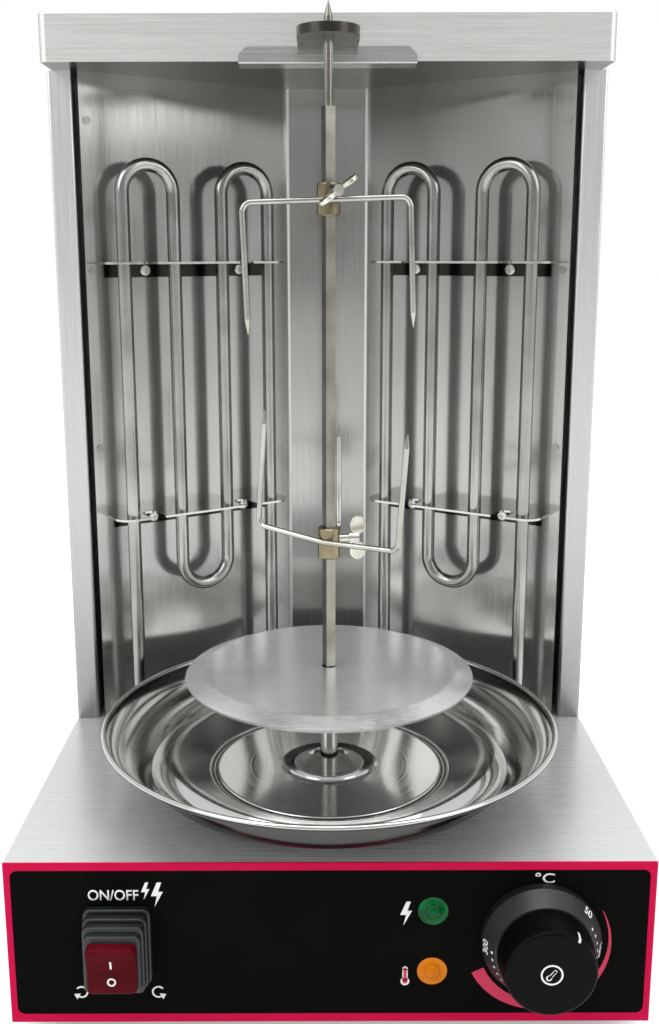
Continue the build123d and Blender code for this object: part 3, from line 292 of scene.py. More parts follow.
# ------------------------------------------------------------------ plastics, rubber and ink
def moulded(name, base, light, rough, grain_mm, depth_mm, **more):
    """Moulded or sprayed non-metal with a fine even texture and slight cloudiness."""
    material, tree, shader = finish(name, base, 0.0, rough[0], IOR=1.5, **more)
    broad = add(tree, "MapRange", None, Value=pattern(tree, [22.22] * 3), From_Min=0.35, From_Max=0.65)
    feed(tree, shader, Base_Color=add(tree, "Mix", COLOURS, Factor=broad, A=base, B=light))
    worked(tree, shader, pattern(tree, [grain_mm] * 3, 2.0, 0.6), rough, depth_mm)
    return material


RED_EDGE_SIDE, RED_EDGE_TOP, RED_EDGE_CORNER = 3.0, 4.0, 3.5


def printed_overlay():
    """Polycarbonate film printed black inside a crimson edge with rounded inner corners; barely glossy."""
    material, tree, shader = finish(
        "printed_polycarbonate_overlay", "080808", 0.0, 0.4, IOR=1.5, Specular_IOR_Level=0.02
    )
    point = add(tree, "TexCoord").outputs["Object"]
    centre = (PANEL_LOW + PANEL_HIGH) / 2 + Vector((0, 0, 0.0003))
    half = (PANEL_HIGH - PANEL_LOW) / 2
    corner = RED_EDGE_CORNER / 1000
    inner = Vector((half.x - RED_EDGE_SIDE / 1000 - corner, 0, half.z - RED_EDGE_TOP / 1000 - corner))
    centred = add(tree, "VectorMath", {"operation": "SUBTRACT"}, _0=point, _1=centre)
    folded = add(tree, "VectorMath", {"operation": "ABSOLUTE"}, _0=centred)
    beyond = add(tree, "VectorMath", {"operation": "SUBTRACT"}, _0=folded, _1=inner)
    positive = add(tree, "VectorMath", {"operation": "MAXIMUM"}, _0=beyond, _1=(0, 0, 0))
    flat = add(tree, "VectorMath", {"operation": "MULTIPLY"}, _0=positive, _1=(1, 0, 1))
    reach = add(tree, "VectorMath", {"operation": "LENGTH"}, _0=flat)
    edge = add(tree, "MapRange", None, Value=reach, From_Min=corner - 0.00015, From_Max=corner + 0.00015)
    cloud = pattern(tree, [28.57] * 3)
    black = add(tree, "Mix", COLOURS, Factor=cloud, A="060606", B="0B0B0A")
    red = add(tree, "Mix", COLOURS, Factor=cloud, A="BE1042", B="C8194A")
    feed(tree, shader, Base_Color=add(tree, "Mix", COLOURS, Factor=edge, A=black, B=red))
    worked(tree, shader, pattern(tree, [0.5] * 3), (0.35, 0.5), 0.006, 0.4)
    return material


def lens_finish(name, base, light):
    """Coloured polycarbonate lens: smooth, deep in colour, faintly cloudy."""
    material, tree, shader = finish(name, base, 0.0, 0.16, IOR=1.58, Specular_IOR_Level=0.1, Coat_Weight=0.05)
    cloud = pattern(tree, [9.091] * 3, 1.0)
    deep = add(tree, "MapRange", None, Value=cloud, From_Min=0.3, From_Max=0.7)
    steady = add(tree, "Mix", COLOURS, Factor=deep, A=base, B=light)
    bump = add(tree, "Bump", None, Height=cloud, Strength=0.2, Distance=0.05 / 1000)
    feed(tree, shader, Base_Color=steady, Normal=bump)
    return material


def ink(name, base, dark):
    """Screen-printed ink: flat and slightly uneven in cover."""
    return moulded(name, base, dark, (0.4, 0.55), 0.4, 0.004)


# ------------------------------------------------------------------ the grill's finishes
COVER_LIP_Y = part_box("top_cover")[0].y
BASE_TOP_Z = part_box("base_housing")[1].z

# Pale lip along the front of the cover; its other faces are painted greyer, as shade.
stainless_cover = brushed_sheet(
    "brushed_stainless_cover", "x", "E6E7E4", "DCDDDA", (0.22, 0.34), 0.8, 0.75,
    ("Y", COVER_LIP_Y + 0.001, COVER_LIP_Y + 0.002, 1.0, 0.5),
)
# Even mid grey with fine level scratches; painted shade, the cover's steel made darker for the back.
stainless_rear = brushed_sheet("brushed_stainless_rear", "x", "A9AAA9", "9D9E9D", (0.24, 0.36))
# Upright scratches; painted shade: bright at the top, greyer towards the base.
stainless_post = brushed_sheet(
    "brushed_stainless_upright", "z", "F0F1F1", "E2E4E4", (0.24, 0.34), 0.7, 1.0,
    ("Z", place(0, 0, 90).z, place(0, 0, 440).z, 0.34, 1.0),
)
# Pale top with level scratches; the folded sides are painted greyer, as shade.
stainless_base = brushed_sheet(
    "brushed_stainless_base", "x", "DCDEDE", "D2D4D4", (0.24, 0.34), 0.8, 0.55,
    ("Z", BASE_TOP_Z - 0.002, BASE_TOP_Z - 0.001, 0.5, 1.0),
)
# Dark warm grey: painted shade on the ceiling's underside.
stainless_ceiling = brushed_sheet("brushed_stainless_ceiling_painted_shade", "x", "62615C", "575651", (0.26, 0.38))
bracket_finish = bracket_sheet()
upper_carrier_finish = carrier_sheet("upper_carriers_painted_light", "left_upper_carrier")
lower_carrier_finish = carrier_sheet("lower_carriers_painted_light", "left_lower_carrier")
reflector_finish = reflector_sheet()
# Polished inside, so it mirrors the disc and the room; duller outside, painted dark as a reflection of the dark
# room.
tray_finish = spun_steel("spun_polished_stainless", "C9C9C7", (0.07, 0.2), 1.2, 14.0)
tray_underside_painted_dark = spun_steel("spun_stainless_underside_painted_dark", "4E4E4D", (0.16, 0.26), 1.2)
# Satin, with a soft sheen across.
disc_finish = brushed_sheet("satin_stainless_disc", "x", "E2E4E4", "D6D9D9", (0.18, 0.28), 0.7, 0.8)
rod_finish = sheathed_rod()
# Bright with a warm cast.
zinc = plain_metal("zinc_plated_steel", "D0CFC9", "B5B4AA", (0.16, 0.3), 0.5, 0.01)
# Small dull domes.
rivet_steel = plain_metal("stainless_rivet", "9C9B96", "8C8B86", (0.16, 0.28), 0.5, 0.006)
# Bright and slightly lumpy from the mould, so that it sparkles.
cast_zinc = plain_metal("nickel_plated_die_casting", "D6D4CE", "B5B2A8", (0.12, 0.24), 0.8, 0.03)
# Satin, pale grey.
wire_finish = plain_metal("drawn_stainless_wire", "B9B8B3", "A2A199", (0.14, 0.26), 0.4, 0.006)
# Satin, a little brown from use.
bar_finish = plain_metal("ground_stainless_bar", "94928A", "7C7A70", (0.16, 0.28), 0.5, 0.006)
# Clean and bright from the lathe.
turned_finish = plain_metal("turned_stainless", "B9B8B3", "A3A29C", (0.12, 0.24), 0.4, 0.006)
# Dull brown yellow with bright edges.
brass = plain_metal("turned_brass_tarnished", "9A9178", "6E6650", (0.16, 0.3), 0.5, 0.01)
# Matt light grey with broad spangles.
galvanised = plain_metal("galvanised_sheet_spangled", "B4B7B8", "949899", (0.3, 0.5), 6.0, 0.01)
# Matt mid grey with a faint orange-peel.
motor_paint = moulded("grey_stove_enamel", "5D6063", "6B6E71", (0.4, 0.55), 0.8, 0.02)
overlay_finish = printed_overlay()
# Soft sheen on black, a touch blue.
boot_rubber = moulded(
    "moulded_rubber_boot", "131618", "1E2224", (0.3, 0.45), 0.5, 0.02, Specular_IOR_Level=0.5
)
# Matt black.
foot_rubber = moulded("moulded_rubber_feet", "17181A", "202224", (0.5, 0.65), 0.6, 0.02)
# Deep black, hardly any sheen on its face.
knob_plastic = moulded(
    "spark_textured_phenolic_knob", "030303", "060606", (0.38, 0.5), 0.35, 0.02, Specular_IOR_Level=0.07
)
# Dark grey with a clear sheen on the cone.
dial_plastic = moulded(
    "spark_textured_phenolic_dial", "0E1013", "181B1F", (0.34, 0.5), 0.35, 0.05, Specular_IOR_Level=0.6
)
# Even dark grey, matt.
black_plastic = moulded("black_nylon", "151618", "1D1F21", (0.4, 0.55), 0.6, 0.02)
# Even off-white, matt.
white_plastic = moulded("white_nylon", "D9D8D2", "E4E3DE", (0.4, 0.55), 0.6, 0.02)
# Cream with a smooth gloss.
ceramic = moulded("glazed_steatite", "D8D3C6", "E3DFD4", (0.16, 0.3), 0.8, 0.01)
# Deep wine red, smooth.
rocker_red = moulded(
    "clear_red_polycarbonate_key", "42030C", "550614", (0.26, 0.34), 2.5, 0.01, Specular_IOR_Level=0.05
)
green_lens = lens_finish("green_polycarbonate_lens", "004A22", "006A34")
amber_lens = lens_finish("amber_polycarbonate_lens", "CE7000", "DA7E0C")
white_ink = ink("white_screen_ink", "E9E9E6", "D6D6D2")
red_ink = ink("crimson_screen_ink", "BE1044", "CC1D4E")

FINISHES = {
    stainless_cover: ["top_cover"],
    stainless_rear: ["rear_panel"],
    stainless_post: ["left_side_panel", "right_side_panel"],
    stainless_base: ["base_housing"],
    stainless_ceiling: ["ceiling_plate"],
    bracket_finish: ["bearing_bracket"],
    upper_carrier_finish: ["left_upper_carrier", "right_upper_carrier"],
    lower_carrier_finish: ["left_lower_carrier", "right_lower_carrier"],
    rivet_steel: ["reflector_rivets"],
    reflector_finish: ["reflector"],
    tray_finish: ["drip_tray"],
    disc_finish: ["meat_disc"],
    rod_finish: ["left_heater", "right_heater"],
    zinc: [
        "foot_screws", "bottom_screws", "rear_screws", "ceiling_screws", "cover_screws", "bracket_screws",
        "carrier_screws", "motor_screws", "bracket_bolts",
    ],
    cast_zinc: ["upper_wing_screw", "lower_wing_screw"],
    wire_finish: ["upper_fork", "lower_fork", "rear_prong"],
    bar_finish: ["spindle_bar"],
    turned_finish: ["spindle_hub", "motor_shaft", "drive_coupling", "thermostat_shaft"],
    brass: ["upper_collar", "lower_collar", "drive_bush"],
    galvanised: ["bottom_plate", "motor_bracket", "reflector_rails"],
    motor_paint: ["gear_motor", "thermostat_body"],
    overlay_finish: ["control_panel"],
    boot_rubber: ["switch_boot"],
    foot_rubber: ["feet"],
    knob_plastic: ["thermostat_knob"],
    dial_plastic: ["thermostat_dial"],
    black_plastic: ["tray_seat", "switch_housing", "lamp_bodies", "cable_gland"],
    white_plastic: ["terminal_block"],
    ceramic: ["heater_bushes", "heater_terminals"],
    rocker_red: ["rocker"],
    green_lens: ["green_lens"],
    amber_lens: ["amber_lens"],
}
for material, names in FINISHES.items():
    for name in names:
        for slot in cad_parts[name].material_slots:
            slot.material = material


# ------------------------------------------------------------------ drawing tools
def piece(name, mesh, matrix, material, body="housing"):
    """Turn a bmesh drawn in millimetres into a piece in its place."""
    bmesh.ops.scale(mesh, vec=(0.001, 0.001, 0.001), verts=mesh.verts)
    bmesh.ops.transform(mesh, matrix=matrix, verts=mesh.verts)
    bmesh.ops.recalc_face_normals(mesh, faces=mesh.faces)
    data = bpy.data.meshes.new(name)
    mesh.to_mesh(data)
    mesh.free()
    data.materials.append(material)
    item = bpy.data.objects.new(name, data)
    bpy.context.scene.collection.objects.link(item)
    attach(item, body)
    return item


def facing(across, up, origin):
    """Matrix that lays a flat drawing on a surface, given its two directions there."""
    across, up = across.normalized(), up.normalized()
    out = across.cross(up)
    return Matrix((
        (across.x, up.x, out.x, origin.x),
        (across.y, up.y, out.y, origin.y),
        (across.z, up.z, out.z, origin.z),
        (0, 0, 0, 1),
    ))


def on_panel(x, z, out_mm=0.0):
    """Flat drawing on the front, seen upright from the front."""
    return facing(Vector((1, 0, 0)), Vector((0, 0, 1)), place(x, -out_mm, z))


INK = 0.08


def thicken(mesh, depth=INK):
    """Give a flat drawing the thickness of its ink or inlay."""
    result = bmesh.ops.extrude_face_region(mesh, geom=list(mesh.faces))
    moved = [item for item in result["geom"] if isinstance(item, bmesh.types.BMVert)]
    bmesh.ops.translate(mesh, vec=(0, 0, depth), verts=moved)
    return mesh


def words(text, width, height, bold=0.012):
    """Lettering as a flat mesh, centred and fitted to its printed size."""
    curve = bpy.data.curves.new("lettering", "FONT")
    curve.body = text
    curve.offset = bold * height
    curve.size = height
    curve.align_x = "CENTER"
    curve.align_y = "CENTER"
    holder = bpy.data.objects.new("lettering", curve)
    bpy.context.scene.collection.objects.link(holder)
    bpy.context.view_layer.update()
    flat = bpy.data.meshes.new_from_object(holder)
    mesh = bmesh.new()
    mesh.from_mesh(flat)
    bpy.data.objects.remove(holder)
    bpy.data.meshes.remove(flat)
    bpy.data.curves.remove(curve)
    across = [vert.co.x for vert in mesh.verts]
    tall = [vert.co.y for vert in mesh.verts]
    to_middle = (-(max(across) + min(across)) / 2, -(max(tall) + min(tall)) / 2, 0)
    size = (width / (max(across) - min(across)), height / (max(tall) - min(tall)), 1)
    bmesh.ops.translate(mesh, vec=to_middle, verts=mesh.verts)
    bmesh.ops.scale(mesh, vec=size, verts=mesh.verts)
    return thicken(mesh)


def outline(points, depth=INK):
    """Small flat shape from a few corners."""
    mesh = bmesh.new()
    mesh.faces.new([mesh.verts.new((x, y, 0)) for x, y in points])
    return thicken(mesh, depth)


def bar(width, length, depth=INK):
    """Small upright rectangle."""
    x, y = width / 2, length / 2
    return outline([(-x, -y), (x, -y), (x, y), (-x, y)], depth)


def dot(radius, depth=INK, segments=24, y=0.0):
    """Small round spot."""
    mesh = bmesh.new()
    bmesh.ops.create_circle(mesh, cap_ends=True, radius=radius, segments=segments)
    bmesh.ops.translate(mesh, vec=(0, y, 0), verts=mesh.verts)
    return thicken(mesh, depth)


def arc_strip(inner, outer, start_deg, sweep_deg, steps):
    """Flat strip bent round the middle, from an edge that is spun."""
    mesh = bmesh.new()
    ends = [mesh.verts.new((inner, 0, 0)), mesh.verts.new((outer, 0, 0))]
    edge = mesh.edges.new(ends)
    turn = Matrix.Rotation(radians(start_deg), 4, "Z")
    bmesh.ops.transform(mesh, matrix=turn, verts=mesh.verts)
    sweep = radians(sweep_deg)
    bmesh.ops.spin(mesh, geom=[*ends, edge], angle=sweep, steps=steps, axis=(0, 0, 1), cent=(0, 0, 0))
    bmesh.ops.remove_doubles(mesh, verts=mesh.verts, dist=0.001)
    return mesh


# ------------------------------------------------------------------ printed marks
BOLT_HEIGHT = 12.0
BOLT = [(-0.9, -6.0), (0.3, -0.7), (-2.4, -0.7), (0.4, 6.0), (2.4, 6.0), (0.9, 1.4), (3.0, 1.4)]


def bolt(height):
    """Lightning bolt, the sign for power."""
    return outline([(x * height / BOLT_HEIGHT, y * height / BOLT_HEIGHT) for x, y in BOLT])


def thermometer(name, matrix, scale, back_ink, body):
    """Capsule with a bulb, and a smaller column inside it."""
    for part, ink_used, grow, depth in (("case", white_ink, 1.0, INK), ("column", back_ink, 0.55, 0.14)):
        width = 1.3 * grow * scale
        bulb = dot(2.2 * grow * scale, depth, y=-3.2 * scale)
        corners = ((-1, -3), (1, -3), (1, 3.6), (-1, 3.6))
        stem = outline([(side * width, y * scale) for side, y in corners], depth)
        tip = dot(width, depth, y=3.6 * scale)
        for suffix, mesh in (("bulb", bulb), ("stem", stem), ("tip", tip)):
            piece(f"{name}_{part}_{suffix}", mesh, matrix, ink_used, body)


def turn_arrow(name, x, z, flip):
    """Three quarters of a circle with an arrow head, the sign for turning."""
    radius, head_deg = 2.7, -60
    strip = thicken(arc_strip(radius - 0.4, radius + 0.4, 40, 260, 32))
    head = outline([(-1.7, 0), (1.7, 0), (0, 2.6)])
    head_turn = radians(head_deg)
    bmesh.ops.rotate(head, cent=(0, 0, 0), matrix=Matrix.Rotation(head_turn, 3, "Z"), verts=head.verts)
    bmesh.ops.translate(head, vec=(radius * cos(head_turn), radius * sin(head_turn), 0), verts=head.verts)
    for suffix, mesh in (("strip", strip), ("head", head)):
        bmesh.ops.scale(mesh, vec=(flip, 1, 1), verts=mesh.verts)
        piece(f"{name}_{suffix}", mesh, on_panel(x, z), white_ink)


def panel_marks():
    """Signs over the switch, beside the lamps, under the switch and over the dial."""
    for name, mesh, x, z in (
        ("mark_on_off", words("ON/OFF", 23.3, 5.3), -99.8, 66.0),
        ("mark_switch_bolt_small", bolt(8.8), -85.2, 68.0),
        ("mark_switch_bolt_large", bolt(12.4), -80.0, 66.2),
        ("mark_lamp_bolt", bolt(12.2), 34.7, 56.3),
        ("mark_degrees", words("°C", 9.0, 5.2), 98.5, 74.2),
    ):
        piece(name, mesh, on_panel(x, z), white_ink)
    thermometer("mark_lamp_thermometer", on_panel(34.9, 24.3), 0.96, red_ink, "housing")
    turn_arrow("mark_turning_left", -116.5, 15.9, -1)
    turn_arrow("mark_turning_right", -80.5, 15.9, 1)


def heat_scale():
    """Printed crescent that swells clockwise round the dial."""
    inner, outer = 27.0, 34.0
    start_deg, sweep_deg = 30, 184
    thin, swell = 0.3, 5.9
    mesh = arc_strip(inner, outer, start_deg, -sweep_deg, 96)
    for vert in mesh.verts:
        if vert.co.length < (inner + outer) / 2:
            angle = atan2(vert.co.y, vert.co.x)
            along = ((radians(start_deg + 0.01) - angle) % (2 * pi)) / radians(sweep_deg)
            width = thin + swell * min(1.0, along) ** 0.9
            vert.co = vert.co.normalized() * (outer - width)
    piece("mark_heat_scale", thicken(mesh), on_panel(DIAL.x - 0.8, DIAL.z - 3.5), red_ink)


panel_marks()
heat_scale()


# ------------------------------------------------------------------ dial and knob marks
DIAL_R, DIAL_TOP_R = 27.5, 23.0
DIAL_EDGE, DIAL_HEIGHT = 4.5, standing_out("thermostat_dial")
DIAL_RISE = (DIAL_HEIGHT - DIAL_EDGE) / (DIAL_R - DIAL_TOP_R)
FIGURE_RING_R, FIGURE_H = 26.3, 3.8
DOT_RING_R, DOT_R = 24.0, 0.7
DOT_START_DEG, DOT_STEP_DEG, DOT_COUNT = 62.0, 9.0, 24
POINTER_DEG, POINTER_W = 35.0, 1.2


def clockwise(angle_deg):
    """Outward and sideways directions at an angle that runs clockwise from the top."""
    turn = radians(angle_deg)
    return Vector((sin(turn), 0, cos(turn))), Vector((cos(turn), 0, -sin(turn)))


OUT = Vector((0, -1, 0))


def on_dial(angle_deg, radius):
    """Flat drawing on the cone of the dial."""
    radial, across = clockwise(angle_deg)
    height = DIAL_EDGE + (DIAL_R - radius) * DIAL_RISE
    spot = place(DIAL.x, -height, DIAL.z) + radial * radius / 1000
    return facing(across, radial - OUT * DIAL_RISE, spot)


def dial_marks():
    """Figures round the dial and a dot every nine degrees between them."""
    figures = (("50", 50.0, 5.0), ("100", 95.0, 7.0), ("200", 182.0, 7.0), ("300", 269.5, 7.0))
    for text, angle, width in figures:
        mesh = words(text, width, FIGURE_H, 0.02)
        matrix = on_dial(angle, FIGURE_RING_R)
        piece(f"dial_figure_{text}", mesh, matrix, white_ink, "housing")
    for i in range(DOT_COUNT):
        matrix = on_dial(DOT_START_DEG + i * DOT_STEP_DEG, DOT_RING_R)
        piece(f"dial_dot_{i}", dot(DOT_R, 0.06, 16), matrix, white_ink, "housing")


def knob_marks():
    """Pointer on the side of the knob, up to its rounded edge, and a ring with a thermometer on its face."""
    radial, across = clockwise(POINTER_DEG)
    for name, reach, height, up, length in (
        ("edge", 19.96, 27.9, radial - OUT, 1.5),
        ("side", 20.77, 25.2, radial * 0.11 - OUT, 4.6),
    ):
        spot = place(DIAL.x, -height, DIAL.z) + radial * reach / 1000
        strip = bar(POINTER_W, length, 0.1)
        piece(f"knob_pointer_{name}", strip, facing(across, up, spot), white_ink, "dial_knob")
    face = on_panel(DIAL.x, DIAL.z, standing_out("thermostat_knob"))
    ring = thicken(arc_strip(4.2, 5.0, 0, 360, 64))
    piece("knob_ring", ring, face, white_ink, "dial_knob")
    thermometer("knob_icon", face @ Matrix.Rotation(radians(-40), 4, "Z"), 0.62, knob_plastic, "dial_knob")


dial_marks()
knob_marks()


# ------------------------------------------------------------------ spun pieces
def rounded(points, radii, steps=6):
    """Flat line through points with its inner corners rounded."""
    points = [Vector(point) for point in points]
    line = [points[0]]
    for before, corner, after, radius in zip(points, points[1:], points[2:], radii):
        back, ahead = (before - corner).normalized(), (after - corner).normalized()
        half = back.angle(ahead) / 2
        centre = corner + (back + ahead).normalized() * radius / sin(half)
        first = corner + back * radius / tan(half) - centre
        last = corner + ahead * radius / tan(half) - centre
        line += [centre + first.slerp(last, i / steps) for i in range(steps + 1)]
    return [*line, points[-1]]


def sheet_loop(line, thickness):
    """Closed outline of a sheet of even thickness along a line."""
    sides = ([], [])
    for i, point in enumerate(line):
        run = (line[min(i + 1, len(line) - 1)] - line[max(i - 1, 0)]).normalized()
        out = Vector((-run.y, run.x)) * thickness / 2
        sides[0].append(point + out)
        sides[1].append(point - out)
    return sides[0] + sides[1][::-1]


def spin_round(mesh, points, steps, closed):
    """Spin a line, given as radius and height, once round the upright axis."""
    verts = [mesh.verts.new((point[0], 0, point[1])) for point in points]
    pairs = list(zip(verts, verts[1:]))
    if closed:
        pairs.insert(0, (verts[-1], verts[0]))
    edges = [mesh.edges.new(pair) for pair in pairs]
    bmesh.ops.spin(
        mesh, geom=[*verts, *edges], angle=radians(360), steps=steps,
        axis=(0, 0, 1), cent=(0, 0, 0), use_merge=True,
    )


TRAY_FLOOR_Z, TRAY_RIM_Z = 89.6, 117.0
TRAY_RIM_R, TRAY_BEAD_R = 117.4, 1.3
TRAY_CORNER_R = 94.9
TRAY_HOLE_R, TRAY_CENTRE_R, TRAY_STEP_R = 8.0, 20.5, 25.0
TRAY_CENTRE_RISE = 6.7
TRAY_RING_R, TRAY_RING_HALF, TRAY_RING_RISE = 60.2, 2.5, 0.9
TRAY_SHEET = 0.8
TRAY_BENDS = (6.0, 1.6, 1.5, 2.0, 1.5, 5.0)


def drip_tray():
    """Round tray with a raised centre, a pressed ring and a rolled rim, polished inside; duller outside,
    painted dark as a reflection.
    """
    centre = (TRAY_RIM_R - TRAY_BEAD_R, TRAY_RIM_Z - TRAY_BEAD_R)
    corners = [
        (TRAY_HOLE_R, TRAY_FLOOR_Z + TRAY_CENTRE_RISE),
        (TRAY_CENTRE_R, TRAY_FLOOR_Z + TRAY_CENTRE_RISE),
        (TRAY_STEP_R, TRAY_FLOOR_Z),
        (TRAY_RING_R - TRAY_RING_HALF, TRAY_FLOOR_Z),
        (TRAY_RING_R, TRAY_FLOOR_Z + TRAY_RING_RISE),
        (TRAY_RING_R + TRAY_RING_HALF, TRAY_FLOOR_Z),
        (TRAY_CORNER_R, TRAY_FLOOR_Z),
        centre,
    ]
    line = rounded(corners, TRAY_BENDS)
    turns = [i * pi / 8 for i in range(16)]
    bead = [Vector(centre) + Vector((cos(turn), sin(turn))) * TRAY_BEAD_R for turn in turns]
    mesh = bmesh.new()
    spin_round(mesh, sheet_loop(line, TRAY_SHEET), 240, True)
    spin_round(mesh, bead, 240, True)
    axis = place(0, AXIS_Y, 0)
    item = piece("spun_drip_tray", mesh, Matrix.Translation(axis), tray_finish, "tray")
    item.data.materials.append(tray_underside_painted_dark)
    # Painted reflection: the outer wall's downward faces take the dark finish.
    wall_from = (TRAY_CORNER_R - 10) / 1000
    for face in item.data.polygons:
        face.use_smooth = True
        reach = Vector((face.center.x - axis.x, face.center.y - axis.y)).length
        if face.normal.z < -0.1 and reach > wall_from:
            face.material_index = 1
    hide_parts("drip_tray")


LENS_R, LENS_DOME = 7.0, 4.5


def lamp_lens(name, at, finish_used):
    """Lamp lens with a domed edge and a small flat core."""
    height = standing_out(name)
    mesh = bmesh.new()
    spin_round(mesh, rounded([(0.0, height), (LENS_R, height), (LENS_R, 0.0)], [LENS_DOME], 14), 96, False)
    bmesh.ops.remove_doubles(mesh, verts=mesh.verts, dist=0.001)
    item = piece(f"smooth_{name}", mesh, on_panel(at.x, at.z), finish_used, "housing")
    item.data.shade_smooth()
    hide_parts(name)


drip_tray()
lamp_lens("green_lens", GREEN_LENS, green_lens)
lamp_lens("amber_lens", AMBER_LENS, amber_lens)


# ------------------------------------------------------------------ switch boot and key
def soft_slab(width, height, back, front, corner, edge):
    """Slab with rounded corners whose front edge is softened."""
    depth = front - back
    mesh = bmesh.new()
    bmesh.ops.create_cube(mesh, size=1.0)
    bmesh.ops.scale(mesh, vec=(width, height, depth), verts=mesh.verts)
    corners = [item for item in mesh.edges if abs(item.verts[0].co.z - item.verts[1].co.z) > depth / 2]
    bmesh.ops.bevel(mesh, geom=corners, offset=corner, segments=8, profile=0.5, affect="EDGES", material=-1)
    rim = [item for item in mesh.edges if min(vert.co.z for vert in item.verts) > depth / 2 - 0.001]
    bmesh.ops.bevel(mesh, geom=rim, offset=edge, segments=4, profile=0.5, affect="EDGES", material=-1)
    bmesh.ops.translate(mesh, vec=(0, 0, back + depth / 2), verts=mesh.verts)
    return mesh


def smooth_sides(item):
    """Smooth shading except where faces meet at a sharp angle."""
    mesh = bmesh.new()
    mesh.from_mesh(item.data)
    for face in mesh.faces:
        face.smooth = True
    for edge in mesh.edges:
        edge.smooth = len(edge.link_faces) == 2 and edge.calc_face_angle() < radians(SHARP_DEG)
    mesh.to_mesh(item.data)
    mesh.free()


SHARP_DEG = 30
BOOT_EDGE = 0.9
# Each step of the bellows: width, height, back and front from the panel, corner radius.
BOOT_STEPS = (
    (31.0, 38.4, 0.0, 3.2, 3.4),
    (27.4, 33.6, 3.2, 5.2, 2.8),
    (29.4, 35.8, 5.2, 8.4, 3.2),
    (26.8, 31.8, 8.4, 10.2, 2.6),
    (28.0, 33.2, 10.2, 13.2, 3.0),
    (25.8, 28.0, 13.2, 16.4, 2.6),
)


def switch_boot():
    """Bellows of stacked steps round the switch, each smaller than the one behind it."""
    joined = bmesh.new()
    for width, height, back, front, corner in BOOT_STEPS:
        step = soft_slab(width, height, back, front, corner, BOOT_EDGE)
        data = bpy.data.meshes.new("step")
        step.to_mesh(data)
        step.free()
        joined.from_mesh(data)
        bpy.data.meshes.remove(data)
    matrix = on_panel(SWITCH.x, SWITCH.z)
    item = piece("soft_switch_boot", joined, matrix, boot_rubber, "housing")
    smooth_sides(item)
    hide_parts("switch_boot")


KEY_W, KEY_H = 22.8, 23.5
KEY_BACK, KEY_FRONT = -4.0, 11.5
KEY_CORNER, KEY_EDGE, KEY_VALLEY = 2.6, 1.1, 1.2
KEY_PIVOT_Y, KEY_LEAN_DEG = -9.0, 6.0


def key_matrix():
    """Place of the key about its pivot, where it leans at rest, for a drawing seen from the front."""
    pivot = Matrix.Translation(place(SWITCH.x, KEY_PIVOT_Y, SWITCH.z))
    lean = Matrix.Rotation(radians(KEY_LEAN_DEG), 4, "X")
    upright = Matrix.Rotation(radians(90), 4, "X")
    return pivot @ lean @ upright


def rocker_key():
    """Key with rounded corners and two faces that meet in a shallow valley."""
    mesh = soft_slab(KEY_W, KEY_H, KEY_BACK, KEY_FRONT, KEY_CORNER, KEY_EDGE)
    everything = [*mesh.verts, *mesh.edges, *mesh.faces]
    bmesh.ops.bisect_plane(mesh, geom=everything, plane_co=(0, 0, 0), plane_no=(0, 1, 0))
    for vert in mesh.verts:
        if vert.co.z > KEY_FRONT - 1.5:
            vert.co.z -= KEY_VALLEY * (1 - abs(vert.co.y) / (KEY_H / 2))
    item = piece("soft_rocker", mesh, key_matrix(), rocker_red, "switch_key")
    smooth_sides(item)
    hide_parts("rocker")


def switch_marks():
    """Printed line and ring, each on one face of the key."""
    slope = KEY_VALLEY / (KEY_H / 2)
    ring = thicken(arc_strip(1.3, 2.05, 0, 360, 32))
    for name, mesh, height in (("key_line", bar(0.9, 4.2), 3.6), ("key_ring", ring, -5.4)):
        out = KEY_FRONT - KEY_VALLEY + slope * abs(height)
        tilt = atan2(slope, 1) if height > 0 else -atan2(slope, 1)
        at = Matrix.Translation(Vector((0, height, out)) / 1000)
        matrix = key_matrix() @ at @ Matrix.Rotation(tilt, 4, "X")
        piece(name, mesh, matrix, white_ink, "switch_key")


switch_boot()
rocker_key()
switch_marks()


# ------------------------------------------------------------------ weld beads
BEAD_R, BEAD_ASIDE, BEAD_FRONT_Y = 1.25, 2.6, -5.9


def weld_beads():
    """Small beads where each fork wire is welded to its collar."""
    for name, height, yaw_deg, lean_deg, body in (
        ("upper_weld", 379.2, 5.0, -2.0, "upper_fork_set"),
        ("lower_weld", 212.5, -29.0, 4.5, "lower_fork_set"),
    ):
        turn = Matrix.Rotation(radians(yaw_deg), 4, "Z") @ Matrix.Rotation(radians(lean_deg), 4, "Y")
        matrix = Matrix.Translation(place(0, AXIS_Y, height)) @ turn
        for side, aside in (("left", -BEAD_ASIDE), ("right", BEAD_ASIDE)):
            mesh = bmesh.new()
            bmesh.ops.create_icosphere(mesh, subdivisions=3, radius=BEAD_R)
            bmesh.ops.scale(mesh, vec=(1.7, 0.9, 1.1), verts=mesh.verts)
            bmesh.ops.translate(mesh, vec=(aside, BEAD_FRONT_Y, 0), verts=mesh.verts)
            item = piece(f"{name}_{side}", mesh, matrix, brass, body)
            item.data.shade_smooth()


weld_beads()


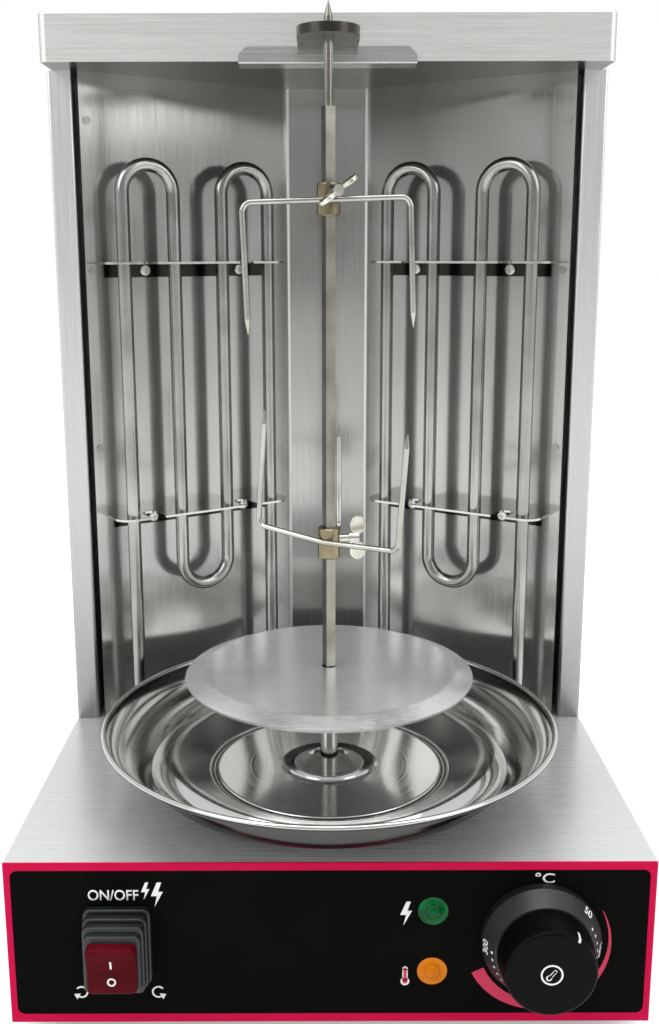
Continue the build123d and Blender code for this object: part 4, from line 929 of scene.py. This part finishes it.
# ------------------------------------------------------------------ floor, light, camera
def floor():
    """Matt white paper that the camera and the metal see as white, with the object's shadow."""
    mesh = bmesh.new()
    bmesh.ops.create_grid(mesh, x_segments=1, y_segments=1, size=8.0)
    data = bpy.data.meshes.new("floor")
    mesh.to_mesh(data)
    mesh.free()
    item = bpy.data.objects.new("floor", data)
    bpy.context.scene.collection.objects.link(item)
    material, tree, shader = finish("matt_white_paper", "F2F2F1", 0.0, 0.9)
    path = add(tree, "LightPath")
    camera_ray, glossy_ray = path.outputs["Is Camera Ray"], path.outputs["Is Glossy Ray"]
    seen = add(tree, "Math", {"operation": "MAXIMUM"}, _0=camera_ray, _1=glossy_ray)
    strength = add(tree, "MapRange", None, Value=seen, To_Max=0.25)
    glow = add(tree, "Emission", None, Color="FFFFFF", Strength=strength)
    both = add(tree, "AddShader", None, _0=shader, _1=glow)
    feed(tree, tree.nodes["Material Output"], Surface=both)
    data.materials.append(material)


def soft_box(name, location, size, power):
    """Rectangular lamp that looks at the middle of the object's base."""
    lamp = bpy.data.lights.new(name, "AREA")
    lamp.shape = "RECTANGLE"
    lamp.size, lamp.size_y = size
    lamp.energy = power
    item = bpy.data.objects.new(name, lamp)
    item.location = location
    toward = Vector((0, 0, 0.2)) - Vector(location)
    item.rotation_euler = toward.to_track_quat("-Z", "Y").to_euler()
    bpy.context.scene.collection.objects.link(item)


def surroundings():
    """White room, with a dark stretch behind the camera that the metal mirrors."""
    world = bpy.data.worlds.new("studio")
    bpy.context.scene.world = world
    world.use_nodes = True
    tree = world.node_tree
    toward = add(tree, "TexCoord").outputs["Generated"]
    parts = add(tree, "SeparateXYZ", None, Vector=toward)
    front = add(
        tree, "MapRange", None, Value=parts.outputs["Y"],
        From_Min=-0.95, From_Max=-0.4, To_Min=0.5, To_Max=0.95,
    )
    high = add(tree, "MapRange", None, Value=parts.outputs["Z"], From_Min=0.3, From_Max=0.9, To_Max=0.12)
    level = add(tree, "Math", {"operation": "ADD"}, _0=front, _1=high)
    room = add(tree, "Background", None, Color="FAFAFA", Strength=level)
    white = add(tree, "Background", None, Color="FFFFFF", Strength=1.0)
    seen = add(tree, "LightPath").outputs["Is Camera Ray"]
    mix = add(tree, "MixShader", None, _0=seen, _1=room, _2=white)
    feed(tree, tree.nodes["World Output"], Surface=mix)


CAMERA_AT = (-2.83, -471.5, 355.3)
CAMERA_DOWN_DEG = 11.88


def camera():
    """Camera at the photograph's viewing angle."""
    view = bpy.data.cameras.new("camera")
    view.sensor_width = 36.0
    view.lens = 39.84
    view.shift_x = 0.0059
    view.shift_y = -0.0215
    item = bpy.data.objects.new("camera", view)
    item.location = place(*CAMERA_AT)
    item.rotation_euler = (radians(90 - CAMERA_DOWN_DEG), 0.0021, -0.0007)
    bpy.context.scene.collection.objects.link(item)
    bpy.context.scene.camera = item


floor()
soft_box("left_box", (-1.3, -1.1, 1.5), (1.2, 1.6), 16.0)
soft_box("right_box", (1.4, -0.8, 1.3), (1.0, 1.6), 9.0)
soft_box("top_box", (0, -0.1, 2.1), (1.6, 1.2), 14.0)
surroundings()
camera()
bpy.context.scene.view_settings.view_transform = "Standard"
